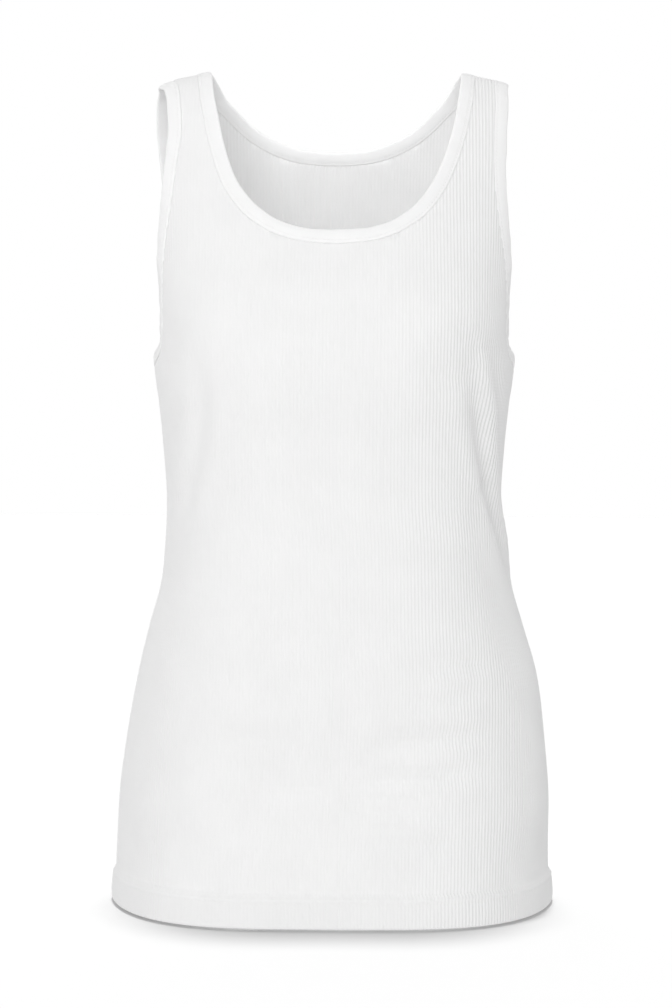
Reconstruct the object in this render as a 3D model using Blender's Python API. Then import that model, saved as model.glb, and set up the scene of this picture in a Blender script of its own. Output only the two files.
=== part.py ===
"""Sleeveless rib-knit tank top, filled out as it is worn, with nobody in it.

Two panels, front and back, meet at the sides and on the shoulders. A binding runs round the neck
and one round each armhole. Each panel's lower edge is turned up inside as a hem.
Front is -Y, +X is the wearer's left, +Z is up. The origin lies midway between the straps, level
with the undersides of their tops, where the shoulders carry the garment.
All sizes here are in millimetres; add_solid() turns them into Blender's metres.
"""

import math
from typing import NamedTuple

import bmesh
import bpy
import numpy as np

MM = 0.001

FRONT, BACK = -1.0, 1.0       # which way along Y a panel faces
LEFT, RIGHT = 1.0, -1.0       # which way along X an armhole faces

# Cloth
WALL = 1.3                    # the knit between its two faces, under the ribs
HEM_WALL = 2.6                # two layers where the lower edge is turned up
RIB_HEIGHT = 0.45             # how far a rib stands out of the groove beside it
RIBS = 92                     # ribs across each panel, side seam to side seam
PLAIN_STEP = 8                # outer columns to one column of the plain inside
SEAM_GAP = 0.3                # what parts two pieces at a seam

# Shoulder ridge
STRAP_LIFT = 3.0              # ridge above the origin, where it is level
SLOPE_START = 95.0            # from here outwards the shoulder falls
SLOPE_EASE = 10.0             # length over which the fall sets in
SHOULDER_SLOPE = 0.20         # fall for each unit outwards
SLOPE_REACH = 160.0           # drop at which the shoulder's fall has faded out
CURL_START = 125.0            # from here outwards the strap's outer edge curls down as well,
CURL_WIDTH = 26.0             # over this width
CURL_FALL = 9.0               # and by this much

# Hem
LENGTH = 659.0                # shoulder ridge to lower edge
HEM_DEPTH = 22.0              # turned-up part
HEM_STEP = 4.0                # height over which the hem's second layer sets in

# Bindings
BAND_WIDTH = 11.2
BAND_THICK = 3.0
BAND_EDGE = 0.9               # rounding of a binding's folded edge

# Cutters
REACH_OUT = 6.0               # how far a cutter's wall stands out of the cloth
REACH_IN = 4.0                # and how far into it
NECK_MIDDLE = (0.0, 0.0, -40.0)            # a point that the neck seam runs round
NECK_TIPS = ((0.0, 0.0, 120.0), (0.0, 0.0, -210.0))            # tips of its cutter, out and in
ARMHOLE_MIDDLE = (130.0, 0.0, -110.0)      # the same for the armhole at +X
ARMHOLE_TIPS = ((320.0, 0.0, -15.0), (55.0, 0.0, -110.0))


class Section(NamedTuple):
    """One level ring round the body of the garment, at a drop below the shoulder ridge.

    A ring follows |x / half_width| ^ across_power + |y / depth| ^ out_power = 1, moved by sway.
    """

    drop: float
    half_width: float
    front_depth: float
    back_depth: float
    across_power: float
    out_power: float
    sway: float


# Above the underarm (drop 237) the rings run on as if there were no armholes, up to the ridge.
# At the underarm they flare, because the side seam's top end stands out a little.
# Down the skirt the front and back flatten and the sides draw in towards the side seams.
SECTIONS = (
    #       drop  half   front  back  powers      sway
    Section(0, 175.0, 0.0, 0.0, 2.20, 2.20, 0.0),
    Section(20, 170.0, 29.5, 37.0, 2.25, 2.25, 0.0),
    Section(50, 161.0, 47.0, 58.0, 2.40, 2.40, 0.0),
    Section(100, 149.8, 69.0, 77.0, 2.60, 2.60, 0.0),
    Section(150, 143.6, 89.0, 87.0, 2.75, 2.90, 0.0),
    Section(200, 136.2, 105.5, 89.5, 2.75, 3.50, 0.0),
    Section(217, 136.2, 108.0, 88.5, 2.75, 3.10, 0.0),
    Section(227, 140.6, 109.2, 87.8, 2.75, 2.30, 0.0),
    Section(237, 142.4, 110.0, 87.0, 2.75, 2.30, 0.0),
    Section(265, 138.6, 107.0, 83.0, 2.80, 2.40, 0.0),
    Section(300, 135.2, 101.0, 77.0, 2.80, 2.20, 0.0),
    Section(342, 132.6, 96.5, 72.0, 2.80, 2.10, 0.3),
    Section(375, 135.4, 97.0, 75.0, 2.90, 2.00, 2.0),
    Section(405, 138.6, 99.5, 81.0, 3.00, 1.95, 2.6),
    Section(440, 148.0, 104.0, 90.0, 3.10, 1.90, 2.8),
    Section(480, 158.3, 109.0, 99.0, 3.30, 1.80, 3.8),
    Section(530, 166.0, 113.0, 106.0, 3.40, 1.75, 2.7),
    Section(580, 171.0, 116.5, 109.5, 3.60, 1.70, 1.7),
    Section(LENGTH - HEM_DEPTH - HEM_STEP, 172.0, 118.0, 111.0, 3.70, 1.60, 0.4),
    Section(LENGTH - HEM_DEPTH, 173.9, 120.0, 113.0, 3.80, 1.60, 0.5),
    Section(LENGTH, 174.3, 120.8, 113.8, 3.80, 1.60, 0.5),
)

# Drops at which a panel has a row of points. They lie close where the cloth turns over the shoulder.
ROW_DROPS = (0.0, 3.0, 10.0, 24.0, 45.0, 75.0, 112.0, 155.0, 194.0, 217.0, 228.0, 252.0, 295.0, 342.0,
             397.0, 456.0, 537.0, LENGTH - HEM_DEPTH - HEM_STEP, LENGTH - HEM_DEPTH, LENGTH)


class Fullness(NamedTuple):
    """A soft outward swell of one panel, on both sides of the centre line."""

    face: float
    across: float
    drop: float
    half_wide: float
    half_tall: float
    height: float


SWELLS = (
    Fullness(FRONT, 83.0, 212.0, 46.0, 52.0, 5.0),
    Fullness(BACK, 62.0, 150.0, 50.0, 60.0, 3.0),
)
SWELL_EASE = 40.0             # distance out from the seams' plane over which a swell sets in


class NeckRow(NamedTuple):
    """A place that the neck seam passes: how far from the centre line, and its drop."""

    across: float
    drop: float


# Both neck tables run from the centre line to the shoulder.
NECK_FRONT = (NeckRow(0.0, 149.0), NeckRow(23.0, 147.5), NeckRow(43.0, 142.0), NeckRow(65.0, 128.5),
              NeckRow(78.0, 114.0), NeckRow(88.0, 96.5), NeckRow(97.3, 72.0), NeckRow(103.3, 49.0),
              NeckRow(108.0, 24.0), NeckRow(111.6, 0.0))
NECK_BACK = (NeckRow(0.0, 63.5), NeckRow(25.0, 62.0), NeckRow(44.0, 57.8), NeckRow(61.0, 51.0),
             NeckRow(75.0, 42.5), NeckRow(88.0, 31.0), NeckRow(101.0, 16.5), NeckRow(111.6, 0.0))


class ArmRow(NamedTuple):
    """A place that an armhole seam passes: how far the cloth is scooped in from the rings' side
    line, measured along the cloth, and its drop."""

    inset: float
    drop: float


# Both armhole tables run from the shoulder down to the underarm, which lies on the side seam.
ARMHOLE_FRONT = (ArmRow(47.2, 0.0), ArmRow(50.3, 9.0), ArmRow(52.0, 22.0), ArmRow(54.5, 52.0),
                 ArmRow(57.0, 88.0), ArmRow(58.5, 128.0), ArmRow(55.5, 162.0), ArmRow(51.5, 190.0),
                 ArmRow(49.3, 208.0), ArmRow(46.8, 219.0), ArmRow(41.5, 227.0), ArmRow(32.0, 232.7),
                 ArmRow(17.0, 236.4), ArmRow(0.0, 237.5))
ARMHOLE_BACK = (ArmRow(47.2, 0.0), ArmRow(50.9, 9.0), ArmRow(53.0, 22.0), ArmRow(55.5, 52.0),
                ArmRow(56.5, 88.0), ArmRow(54.5, 128.0), ArmRow(51.5, 162.0), ArmRow(48.5, 190.0),
                ArmRow(45.0, 208.0), ArmRow(39.5, 221.0), ArmRow(31.0, 230.0), ArmRow(18.0, 235.5),
                ArmRow(0.0, 237.5))


class TurnRow(NamedTuple):
    """How much the right strap sits turned at a drop: what its seams' rows grow by."""

    drop: float
    arm_front: float
    arm_back: float
    neck_front: float
    neck_back: float


# The right strap lies a little askew over the shoulder, its back edge outwards.
STRAP_TURN = (
    #        drop  arm front, back  neck front, back
    TurnRow(0.0, -1.2, -1.2, -0.8, -0.8),
    TurnRow(9.0, 3.0, -5.0, -1.5, 0.0),
    TurnRow(24.0, 4.0, -6.0, -1.8, 0.0),
    TurnRow(52.0, 3.4, -6.0, -1.8, 0.0),
    TurnRow(72.0, 1.4, -5.6, -1.2, 0.0),
    TurnRow(92.0, -1.2, -4.5, 0.0, 0.0),
    TurnRow(128.0, -1.5, -2.0, 0.0, 0.0),
    TurnRow(170.0, 0.0, 0.0, 0.0, 0.0),
)

NECK_STEPS = {FRONT: 20, BACK: 15}        # stations on half of the neck
ARMHOLE_STEPS = {FRONT: 24, BACK: 24}     # stations on the front and back of an armhole
BEND_WEIGHT = 22.0            # length that a turn of one radian counts for, when stations are set out

COTTON = (0.93, 0.93, 0.92, 1.0)

QUARTER = np.linspace(0.0, math.pi / 2, 361)
SAMPLES = 160                 # points to a seam curve before its stations are chosen
NUDGE = 1e-3                  # step of the differences that give a surface direction


# ---------------------------------------------------------------------------------------------
# The cloth's surface
# ---------------------------------------------------------------------------------------------

def smooth_read(at, knots, values):
    """Read a table as a smooth curve that keeps every hill and valley on a row of the table."""
    knots, values = np.asarray(knots, float), np.asarray(values, float)
    rise = np.diff(values) / np.diff(knots)
    same_way = rise[:-1] * rise[1:] > 0
    total = np.where(same_way, rise[:-1] + rise[1:], 1.0)
    slope = np.empty_like(values)
    slope[0], slope[-1] = rise[0], rise[-1]
    slope[1:-1] = np.where(same_way, 2 * rise[:-1] * rise[1:] / total, 0.0)
    row = np.clip(np.searchsorted(knots, at, side="right") - 1, 0, len(knots) - 2)
    span = knots[row + 1] - knots[row]
    part = (at - knots[row]) / span
    square, cube = part ** 2, part ** 3
    return ((2 * cube - 3 * square + 1) * values[row] + (cube - 2 * square + part) * span * slope[row]
            + (3 * square - 2 * cube) * values[row + 1] + (cube - square) * span * slope[row + 1])


def section_value(name, root):
    """One column of SECTIONS at a level given by the square root of its drop.

    The root makes the depths grow evenly from the ridge, so the cloth turns over it as a parabola.
    """
    roots = [math.sqrt(section.drop) for section in SECTIONS]
    return float(smooth_read(root, roots, [getattr(section, name) for section in SECTIONS]))


def quarter_ring(face, root):
    """Points of a ring from the centre line to the side: across, out, and the length run so far."""
    half_width = section_value("half_width", root)
    depth = section_value("front_depth" if face == FRONT else "back_depth", root)
    across = half_width * np.sin(QUARTER) ** (2 / section_value("across_power", root))
    out = depth * np.cos(QUARTER) ** (2 / section_value("out_power", root))
    run = np.concatenate(([0.0], np.cumsum(np.hypot(np.diff(across), np.diff(out)))))
    return across, out, run


def smooth_step(value):
    """0 below 0, 1 above 1, and an even S between them."""
    value = np.clip(value, 0.0, 1.0)
    return value * value * (3 - 2 * value)


def swell(face, across, drop):
    """How far the panel stands out of its rings."""
    out = np.zeros_like(across)
    for full in SWELLS:
        if full.face == face:
            near = ((np.abs(across) - full.across) / full.half_wide) ** 2
            near = near + ((drop - full.drop) / full.half_tall) ** 2
            out = out + full.height * np.exp(-near)
    return out


def cloth_row(face, part, root):
    """Points of a panel's surface at one level.

    part runs from -1 to 1 between the side seams, as a share of the length along the ring, so a
    constant part is one wale of the knit. Past a side seam or over the ridge (a negative root) the
    surface goes on as its own mirror image, which keeps its directions true at the seams.
    """
    part = np.atleast_1d(np.asarray(part, float))
    turned = np.where(np.abs(part) > 1, -1.0, 1.0) * (-1.0 if root < 0 else 1.0)
    part = np.where(np.abs(part) > 1, np.sign(part) * (2 - np.abs(part)), part)
    root = abs(root)
    drop = root ** 2
    across, out, run = quarter_ring(face, root)
    along = np.abs(part) * run[-1]
    x = np.sign(part) * np.interp(along, run, across)
    y = np.interp(along, run, out)
    past = np.abs(x) - SLOPE_START
    fall = SHOULDER_SLOPE * (np.hypot(past, SLOPE_EASE) + past) / 2
    fall = fall + CURL_FALL * smooth_step((np.abs(x) - CURL_START) / CURL_WIDTH)
    z = STRAP_LIFT - drop - fall * (1 - smooth_step(drop / SLOPE_REACH))
    y = y + swell(face, x, drop) * smooth_step(y / SWELL_EASE)
    return np.stack([x + section_value("sway", root), face * turned * y, z], axis=-1)


def surface(face, part, root):
    """Points and outward directions of a panel at one level."""
    point = cloth_row(face, part, root)
    along = cloth_row(face, part + NUDGE, root) - cloth_row(face, part - NUDGE, root)
    down = cloth_row(face, part, root + NUDGE) - cloth_row(face, part, root - NUDGE)
    normal = face * np.cross(along, down)
    return point, normal / np.linalg.norm(normal, axis=-1, keepdims=True)


def part_of(face, across, drop):
    """The wale, as a part of the way to the side seam, that lies at a distance from the centre."""
    ring_across, _, run = quarter_ring(face, math.sqrt(drop))
    return float(np.interp(across, ring_across, run) / run[-1])


# ---------------------------------------------------------------------------------------------
# Seam curves
# ---------------------------------------------------------------------------------------------

class Seam(NamedTuple):
    """Stations of a closed seam: points on the cloth, outward and into-the-opening directions."""

    point: np.ndarray
    normal: np.ndarray
    inward: np.ndarray


def stations(face, rows, before, after, count):
    """Points and normals along one half of a seam, given as (part, root) rows on one panel.

    before and after are the rows beyond its two ends, which set the directions there. The last
    station is left out, because the next half starts on it.
    """
    rows = np.array([before, *rows, after])
    places = np.array([cloth_row(face, part, root)[0] for part, root in rows])
    chord = np.concatenate(([0.0], np.cumsum(np.linalg.norm(np.diff(places, axis=0), axis=1))))
    at = np.linspace(chord[1], chord[-2], SAMPLES)
    parts = smooth_read(at, chord, rows[:, 0])
    roots = smooth_read(at, chord, rows[:, 1])
    pairs = [surface(face, part, root) for part, root in zip(parts, roots)]
    points = np.array([pair[0][0] for pair in pairs])
    normals = np.array([pair[1][0] for pair in pairs])
    steps = np.diff(points, axis=0)
    ways = steps / np.linalg.norm(steps, axis=1, keepdims=True)
    turns = np.arccos(np.clip(np.sum(ways[:-1] * ways[1:], axis=1), -1, 1))
    turns = np.concatenate((turns[:1], turns)) + np.linalg.norm(np.diff(normals, axis=0), axis=1)
    measure = np.concatenate(([0.0], np.cumsum(np.linalg.norm(steps, axis=1) + BEND_WEIGHT * turns)))
    chosen = np.interp(np.linspace(0, measure[-1], count + 1)[:-1], measure, np.arange(SAMPLES))
    index = np.arange(SAMPLES)
    pick = [np.interp(chosen, index, column) for column in np.hstack([points, normals]).T]
    pick = np.stack(pick, axis=-1)
    return pick[:, :3], pick[:, 3:]


def closed_seam(points, normals, towards):
    """Turn stations into a Seam whose inward direction looks to the middle of the opening."""
    normals = normals / np.linalg.norm(normals, axis=1, keepdims=True)
    along = np.roll(points, -1, axis=0) - np.roll(points, 1, axis=0)
    inward = np.cross(normals, along)
    inward /= np.linalg.norm(inward, axis=1, keepdims=True)
    if np.sum(inward * (np.asarray(towards) - points)) < 0:
        inward = -inward
    return Seam(points, normals, inward)


def to_side(array, side):
    """Points or directions of the left side, mirrored if they are for the right."""
    return array * np.array([side, 1.0, 1.0])


def turned(reach, drop, side, column):
    """A seam row's reach, with the turn of the right strap added to it."""
    if side == LEFT:
        return reach
    drops = [row.drop for row in STRAP_TURN]
    turns = [getattr(row, column) for row in STRAP_TURN]
    return reach + float(smooth_read(min(drop, drops[-1]), drops, turns))


def neck_seam():
    """The seam of the neck binding, from the front centre by the left shoulder and round."""
    tables = {FRONT: ("neck_front", NECK_FRONT), BACK: ("neck_back", NECK_BACK)}
    points, normals = {}, {}
    for side in (LEFT, RIGHT):
        rows = {face: [(part_of(face, turned(row.across, row.drop, side, column), row.drop),
                        math.sqrt(row.drop)) for row in table]
                for face, (column, table) in tables.items()}
        for face, other in ((FRONT, BACK), (BACK, FRONT)):
            before = (-rows[face][1][0], rows[face][1][1])
            after = (rows[other][-2][0], -rows[other][-2][1])
            half = stations(face, rows[face], before, after, NECK_STEPS[face])
            points[side, face], normals[side, face] = (to_side(array, side) for array in half)
        shoulder = surface(FRONT, *rows[FRONT][-1])
        points[side, 0], normals[side, 0] = (to_side(array, side) for array in shoulder)
    loops = []
    for part in (points, normals):
        loops.append(np.vstack([
            part[LEFT, FRONT], part[LEFT, 0], part[LEFT, BACK][::-1],
            part[RIGHT, BACK][1:], part[RIGHT, 0], part[RIGHT, FRONT][:0:-1],
        ]))
    return closed_seam(*loops, NECK_MIDDLE)


def armhole_seam(side):
    """The seam of one armhole binding, from the shoulder down the front, and up the back."""
    rows = {}
    tables = {FRONT: ("arm_front", ARMHOLE_FRONT), BACK: ("arm_back", ARMHOLE_BACK)}
    for face, (column, table) in tables.items():
        rows[face] = []
        for row in table:
            length = quarter_ring(face, math.sqrt(row.drop))[2][-1]
            inset = turned(row.inset, row.drop, side, column)
            rows[face].append((1 - inset / length, math.sqrt(row.drop)))

    def half(face, other):
        before = (rows[other][1][0], -rows[other][1][1])
        after = (2 - rows[other][-2][0], rows[other][-2][1])
        return stations(face, rows[face], before, after, ARMHOLE_STEPS[face])

    front_points, front_normals = half(FRONT, BACK)
    back_points, back_normals = half(BACK, FRONT)
    underarm_point, underarm_normal = (array[0] for array in surface(FRONT, *rows[FRONT][-1]))
    points = np.vstack([front_points, underarm_point, back_points[:0:-1]])
    normals = np.vstack([front_normals, underarm_normal, back_normals[:0:-1]])
    middle = to_side(np.array(ARMHOLE_MIDDLE), side)
    return closed_seam(to_side(points, side), to_side(normals, side), middle)


# ---------------------------------------------------------------------------------------------
# Solids
# ---------------------------------------------------------------------------------------------

def add_solid(name, collection, points, faces):
    """Make a mesh object from points in millimetres, with its faces turned outwards."""
    mesh = bpy.data.meshes.new(name)
    mesh.from_pydata((np.asarray(points) * MM).tolist(), [], faces)
    form = bmesh.new()
    form.from_mesh(mesh)
    bmesh.ops.recalc_face_normals(form, faces=form.faces)
    form.to_mesh(mesh)
    form.free()
    solid = bpy.data.objects.new(name, mesh)
    collection.objects.link(solid)
    return solid


def add_material(solid, colour, roughness):
    """Give a piece its own cotton, matt and not metallic."""
    material = bpy.data.materials.new(solid.name + "_cotton")
    material.use_nodes = True
    material.diffuse_color = colour
    shader = material.node_tree.nodes["Principled BSDF"]
    shader.inputs["Base Color"].default_value = colour
    shader.inputs["Roughness"].default_value = roughness
    shader.inputs["Metallic"].default_value = 0.0
    solid.data.materials.append(material)


def grid_faces(rows, columns, first=0):
    """Triangles over a grid of points that is stored row by row."""
    faces = []
    for row in range(rows - 1):
        for column in range(columns - 1):
            corner = first + row * columns + column
            faces.append((corner, corner + 1, corner + columns + 1))
            faces.append((corner, corner + columns + 1, corner + columns))
    return faces


def stitch(fine, coarse):
    """Triangles between a finely and a coarsely divided edge, PLAIN_STEP to one."""
    faces = []
    middle = PLAIN_STEP // 2
    for cell in range(len(coarse) - 1):
        start = cell * PLAIN_STEP
        for step in range(PLAIN_STEP):
            near = coarse[cell] if step < middle else coarse[cell + 1]
            faces.append((fine[start + step], fine[start + step + 1], near))
        faces.append((coarse[cell], fine[start + middle], coarse[cell + 1]))
    return faces


def panel_points(face, parts, heights):
    """A panel's points at every row, each moved out along the cloth's own direction.

    heights holds a row of distances for each level. Beside a seam the points keep half the gap.
    """
    rows = []
    for drop, height in zip(ROW_DROPS, heights):
        point, normal = surface(face, parts, math.sqrt(drop))
        row = point + normal * np.broadcast_to(height, parts.shape)[:, None]
        row[:, 1] = face * np.maximum(face * row[:, 1], SEAM_GAP / 2)
        rows.append(row)
    return np.array(rows)


def wall_at(drop):
    """The wall's thickness at a level: one layer of knit, or two in the hem."""
    return HEM_WALL if drop >= LENGTH - HEM_DEPTH else WALL


def build_panel(name, face, collection):
    """A closed wall of knit, ribbed outside and plain inside, before it is cut out."""
    parts = np.linspace(-1.0, 1.0, 2 * RIBS + 1)
    ribbed = RIB_HEIGHT * (np.arange(len(parts)) % 2)
    outer = panel_points(face, parts, [ribbed] * len(ROW_DROPS))
    plain = parts[::PLAIN_STEP]
    inner = panel_points(face, plain, [-wall_at(drop) for drop in ROW_DROPS])
    rows, fine, coarse = len(ROW_DROPS), len(parts), len(plain)
    outside = np.arange(rows * fine).reshape(rows, fine)
    inside = rows * fine + np.arange(rows * coarse).reshape(rows, coarse)
    faces = grid_faces(rows, fine) + grid_faces(rows, coarse, rows * fine)
    for edge in (0, -1):
        faces += stitch(outside[edge].tolist(), inside[edge].tolist())
        rim = zip(outside[:-1, edge], outside[1:, edge], inside[:-1, edge], inside[1:, edge])
        for top, bottom, top_in, bottom_in in rim:
            faces.append((int(top), int(bottom), int(bottom_in)))
            faces.append((int(top), int(bottom_in), int(top_in)))
    points = np.vstack([outer.reshape(-1, 3), inner.reshape(-1, 3)])
    return add_solid(name, collection, points, faces)


def build_cutter(name, seam, tips, collection):
    """A closed plug whose wall crosses the cloth squarely along a seam, with a cone on each end."""
    count = len(seam.point)
    outer = seam.point + seam.normal * REACH_OUT
    inner = seam.point - seam.normal * REACH_IN
    points = np.vstack([outer, inner, tips])
    faces = []
    for here in range(count):
        following = (here + 1) % count
        faces.append((here, following, count + following))
        faces.append((here, count + following, count + here))
        faces.append((following, here, 2 * count))
        faces.append((count + here, count + following, 2 * count + 1))
    cutter = add_solid(name, collection, points, faces)
    cutter.hide_render = True
    cutter.display_type = "WIRE"
    return cutter


def band_profile():
    """The binding's outline: distance into the opening, and out of the cloth's middle."""
    near, far, half = SEAM_GAP, SEAM_GAP + BAND_WIDTH, BAND_THICK / 2
    ease = BAND_EDGE
    return [(near, -half + ease / 2), (near, half - ease / 2), (near + ease, half), (far - ease, half),
            (far, half - ease), (far, -half + ease), (far - ease, -half), (near + ease, -half)]


def build_band(name, seam, collection):
    """A binding: its rounded outline carried once round a seam."""
    profile = np.array(band_profile())
    middle = seam.point - seam.normal * (WALL - RIB_HEIGHT) / 2
    rings = (middle[:, None] + seam.inward[:, None] * profile[None, :, :1]
             + seam.normal[:, None] * profile[None, :, 1:])
    count, sides = rings.shape[:2]
    faces = []
    for here in range(count):
        following = (here + 1) % count
        for side in range(sides):
            beside = (side + 1) % sides
            faces.append((here * sides + side, following * sides + side, following * sides + beside))
            faces.append((here * sides + side, following * sides + beside, here * sides + beside))
    return add_solid(name, collection, rings.reshape(-1, 3), faces)


def cut_out(panel, cutters):
    """Cut the neck and the armholes out of a panel."""
    for cutter in cutters:
        cut = panel.modifiers.new("cut_" + cutter.name, "BOOLEAN")
        cut.operation = "DIFFERENCE"
        cut.solver = "EXACT"
        cut.object = cutter


def new_collection(name):
    """A collection linked to the scene."""
    collection = bpy.data.collections.new(name)
    bpy.context.scene.collection.children.link(collection)
    return collection


def main():
    """Build the garment."""
    for item in list(bpy.data.objects):
        bpy.data.objects.remove(item, do_unlink=True)
    garment = new_collection("tank_top")
    cutters = new_collection("cutters")

    neck = neck_seam()
    armholes = {"left": armhole_seam(LEFT), "right": armhole_seam(RIGHT)}
    plugs = [build_cutter("neck_cutter", neck, NECK_TIPS, cutters)]
    for word, side in (("left", LEFT), ("right", RIGHT)):
        tips = np.array(ARMHOLE_TIPS) * (side, 1, 1)
        plugs.append(build_cutter("armhole_cutter_" + word, armholes[word], tips, cutters))

    for name, face in (("front_panel", FRONT), ("back_panel", BACK)):
        panel = build_panel(name, face, garment)
        cut_out(panel, plugs)
        add_material(panel, COTTON, 0.9)
    add_material(build_band("neck_band", neck, garment), COTTON, 0.85)
    for word, seam in armholes.items():
        add_material(build_band("armhole_band_" + word, seam, garment), COTTON, 0.85)


main()
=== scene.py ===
"""Sleeveless rib-knit tank top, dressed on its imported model.

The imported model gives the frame: metres, front at -Y, the wearer's left at +X, up +Z. Inside this
file lengths are in millimetres until they go into a mesh, apart from the camera and the lights.
Each cut piece of the garment is one class here: a panel, a binding, a row of stitches.
"""
from __future__ import annotations

import logging
import math
from dataclasses import dataclass, field
from enum import Enum

import bpy  # noqa: E402
import numpy as np  # noqa: E402
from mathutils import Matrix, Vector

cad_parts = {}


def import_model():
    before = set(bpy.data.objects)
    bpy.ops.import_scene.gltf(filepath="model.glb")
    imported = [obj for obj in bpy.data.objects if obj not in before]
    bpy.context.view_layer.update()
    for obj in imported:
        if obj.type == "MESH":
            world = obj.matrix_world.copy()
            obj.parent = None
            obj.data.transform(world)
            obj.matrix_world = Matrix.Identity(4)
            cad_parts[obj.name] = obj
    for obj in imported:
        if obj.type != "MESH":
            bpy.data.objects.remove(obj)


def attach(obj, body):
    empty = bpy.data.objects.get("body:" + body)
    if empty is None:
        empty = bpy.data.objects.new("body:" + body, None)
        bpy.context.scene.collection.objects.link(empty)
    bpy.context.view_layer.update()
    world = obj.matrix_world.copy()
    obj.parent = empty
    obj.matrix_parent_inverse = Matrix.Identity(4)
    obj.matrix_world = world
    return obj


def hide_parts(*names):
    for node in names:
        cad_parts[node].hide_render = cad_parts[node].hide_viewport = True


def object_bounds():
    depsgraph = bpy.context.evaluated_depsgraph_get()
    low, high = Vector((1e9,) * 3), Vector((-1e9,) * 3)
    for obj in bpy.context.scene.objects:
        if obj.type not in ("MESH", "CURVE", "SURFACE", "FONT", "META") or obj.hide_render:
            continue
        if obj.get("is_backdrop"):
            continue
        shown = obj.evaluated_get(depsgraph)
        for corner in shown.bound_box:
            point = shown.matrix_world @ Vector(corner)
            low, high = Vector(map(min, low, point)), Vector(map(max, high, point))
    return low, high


log = logging.getLogger("tank_top")

MM = 0.001


class Face(Enum):
    """Which panel of the garment: the way that it looks along Y."""

    FRONT = -1.0
    BACK = 1.0


class Hand(Enum):
    """Which side of the garment, by its place along X: the wearer's left is at +X."""

    MINUS_X = -1.0
    PLUS_X = 1.0


class Opening(Enum):
    """What an opening of the garment is for."""

    NECK = "neck"
    ARMHOLE = "armhole"


class Wall(Enum):
    """Which wall of a folded binding: the way that it looks along the cloth's normal."""

    OUTER = 1.0
    INNER = -1.0


class Lit(Enum):
    """What a light falls on, as Blender's state for its link to the floor."""

    FLOOR_ALONE = "INCLUDE"
    ALL_BUT_FLOOR = "EXCLUDE"


OTHER_FACE = {Face.FRONT: Face.BACK, Face.BACK: Face.FRONT}


# ---- Small numeric helpers ----


def smooth_step(value: np.ndarray) -> np.ndarray:
    """3v^2 - 2v^3 of the value kept between 0 and 1: an even S from 0 to 1."""
    value = np.clip(value, 0.0, 1.0)
    return value * value * (3 - 2 * value)


def smooth_read(at: np.ndarray, knots: np.ndarray, values: np.ndarray) -> np.ndarray:
    """Read a table as a smooth curve: cubic pieces whose slope at a row is the harmonic mean of
    the slopes beside it, and 0 where the table turns.

    Args:
        at: Where to read.
        knots: The table's places, rising.
        values: The table's values.

    Returns:
        The curve's values.
    """
    knots, values = np.asarray(knots, float), np.asarray(values, float)
    rise = np.diff(values) / np.diff(knots)
    same_way = rise[:-1] * rise[1:] > 0
    total = np.where(same_way, rise[:-1] + rise[1:], 1.0)
    slope = np.empty_like(values)
    slope[0], slope[-1] = rise[0], rise[-1]
    slope[1:-1] = np.where(same_way, 2 * rise[:-1] * rise[1:] / total, 0.0)
    row = np.clip(np.searchsorted(knots, at, side="right") - 1, 0, len(knots) - 2)
    span = knots[row + 1] - knots[row]
    part = (at - knots[row]) / span
    square, cube = part**2, part**3
    return (
        (2 * cube - 3 * square + 1) * values[row]
        + (cube - 2 * square + part) * span * slope[row]
        + (3 * square - 2 * cube) * values[row + 1]
        + (cube - square) * span * slope[row + 1]
    )


def run_length(points: np.ndarray) -> np.ndarray:
    """Length run along a line of points, from 0 at its first."""
    return np.concatenate(([0.0], np.cumsum(np.linalg.norm(np.diff(points, axis=0), axis=1))))


def read_rows(at: np.ndarray, run: np.ndarray, rows: np.ndarray) -> np.ndarray:
    """A table's columns read straight between its rows, whose places are run, on a last axis."""
    return np.stack([np.interp(at, run, column) for column in rows.T], axis=-1)


def unit(vectors: np.ndarray) -> np.ndarray:
    """Vectors made one long."""
    return vectors / np.linalg.norm(vectors, axis=-1, keepdims=True)


# ---- The filled-out form ----


@dataclass(frozen=True)
class Level:
    """One level ring: |x / half_width| ^ across_power + |y / depth| ^ out_power = 1, moved by sway."""

    drop: float
    half_width: float
    front: float
    back: float
    across_power: float
    out_power: float
    sway: float = 0.0


@dataclass(frozen=True)
class Fullness:
    """A soft outward swell on both sides of one panel's centre line."""

    face: Face
    across: float
    drop: float
    half_wide: float
    half_tall: float
    height: float


LENGTH = 659.0
HEM_DEPTH = 22.0

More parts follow.
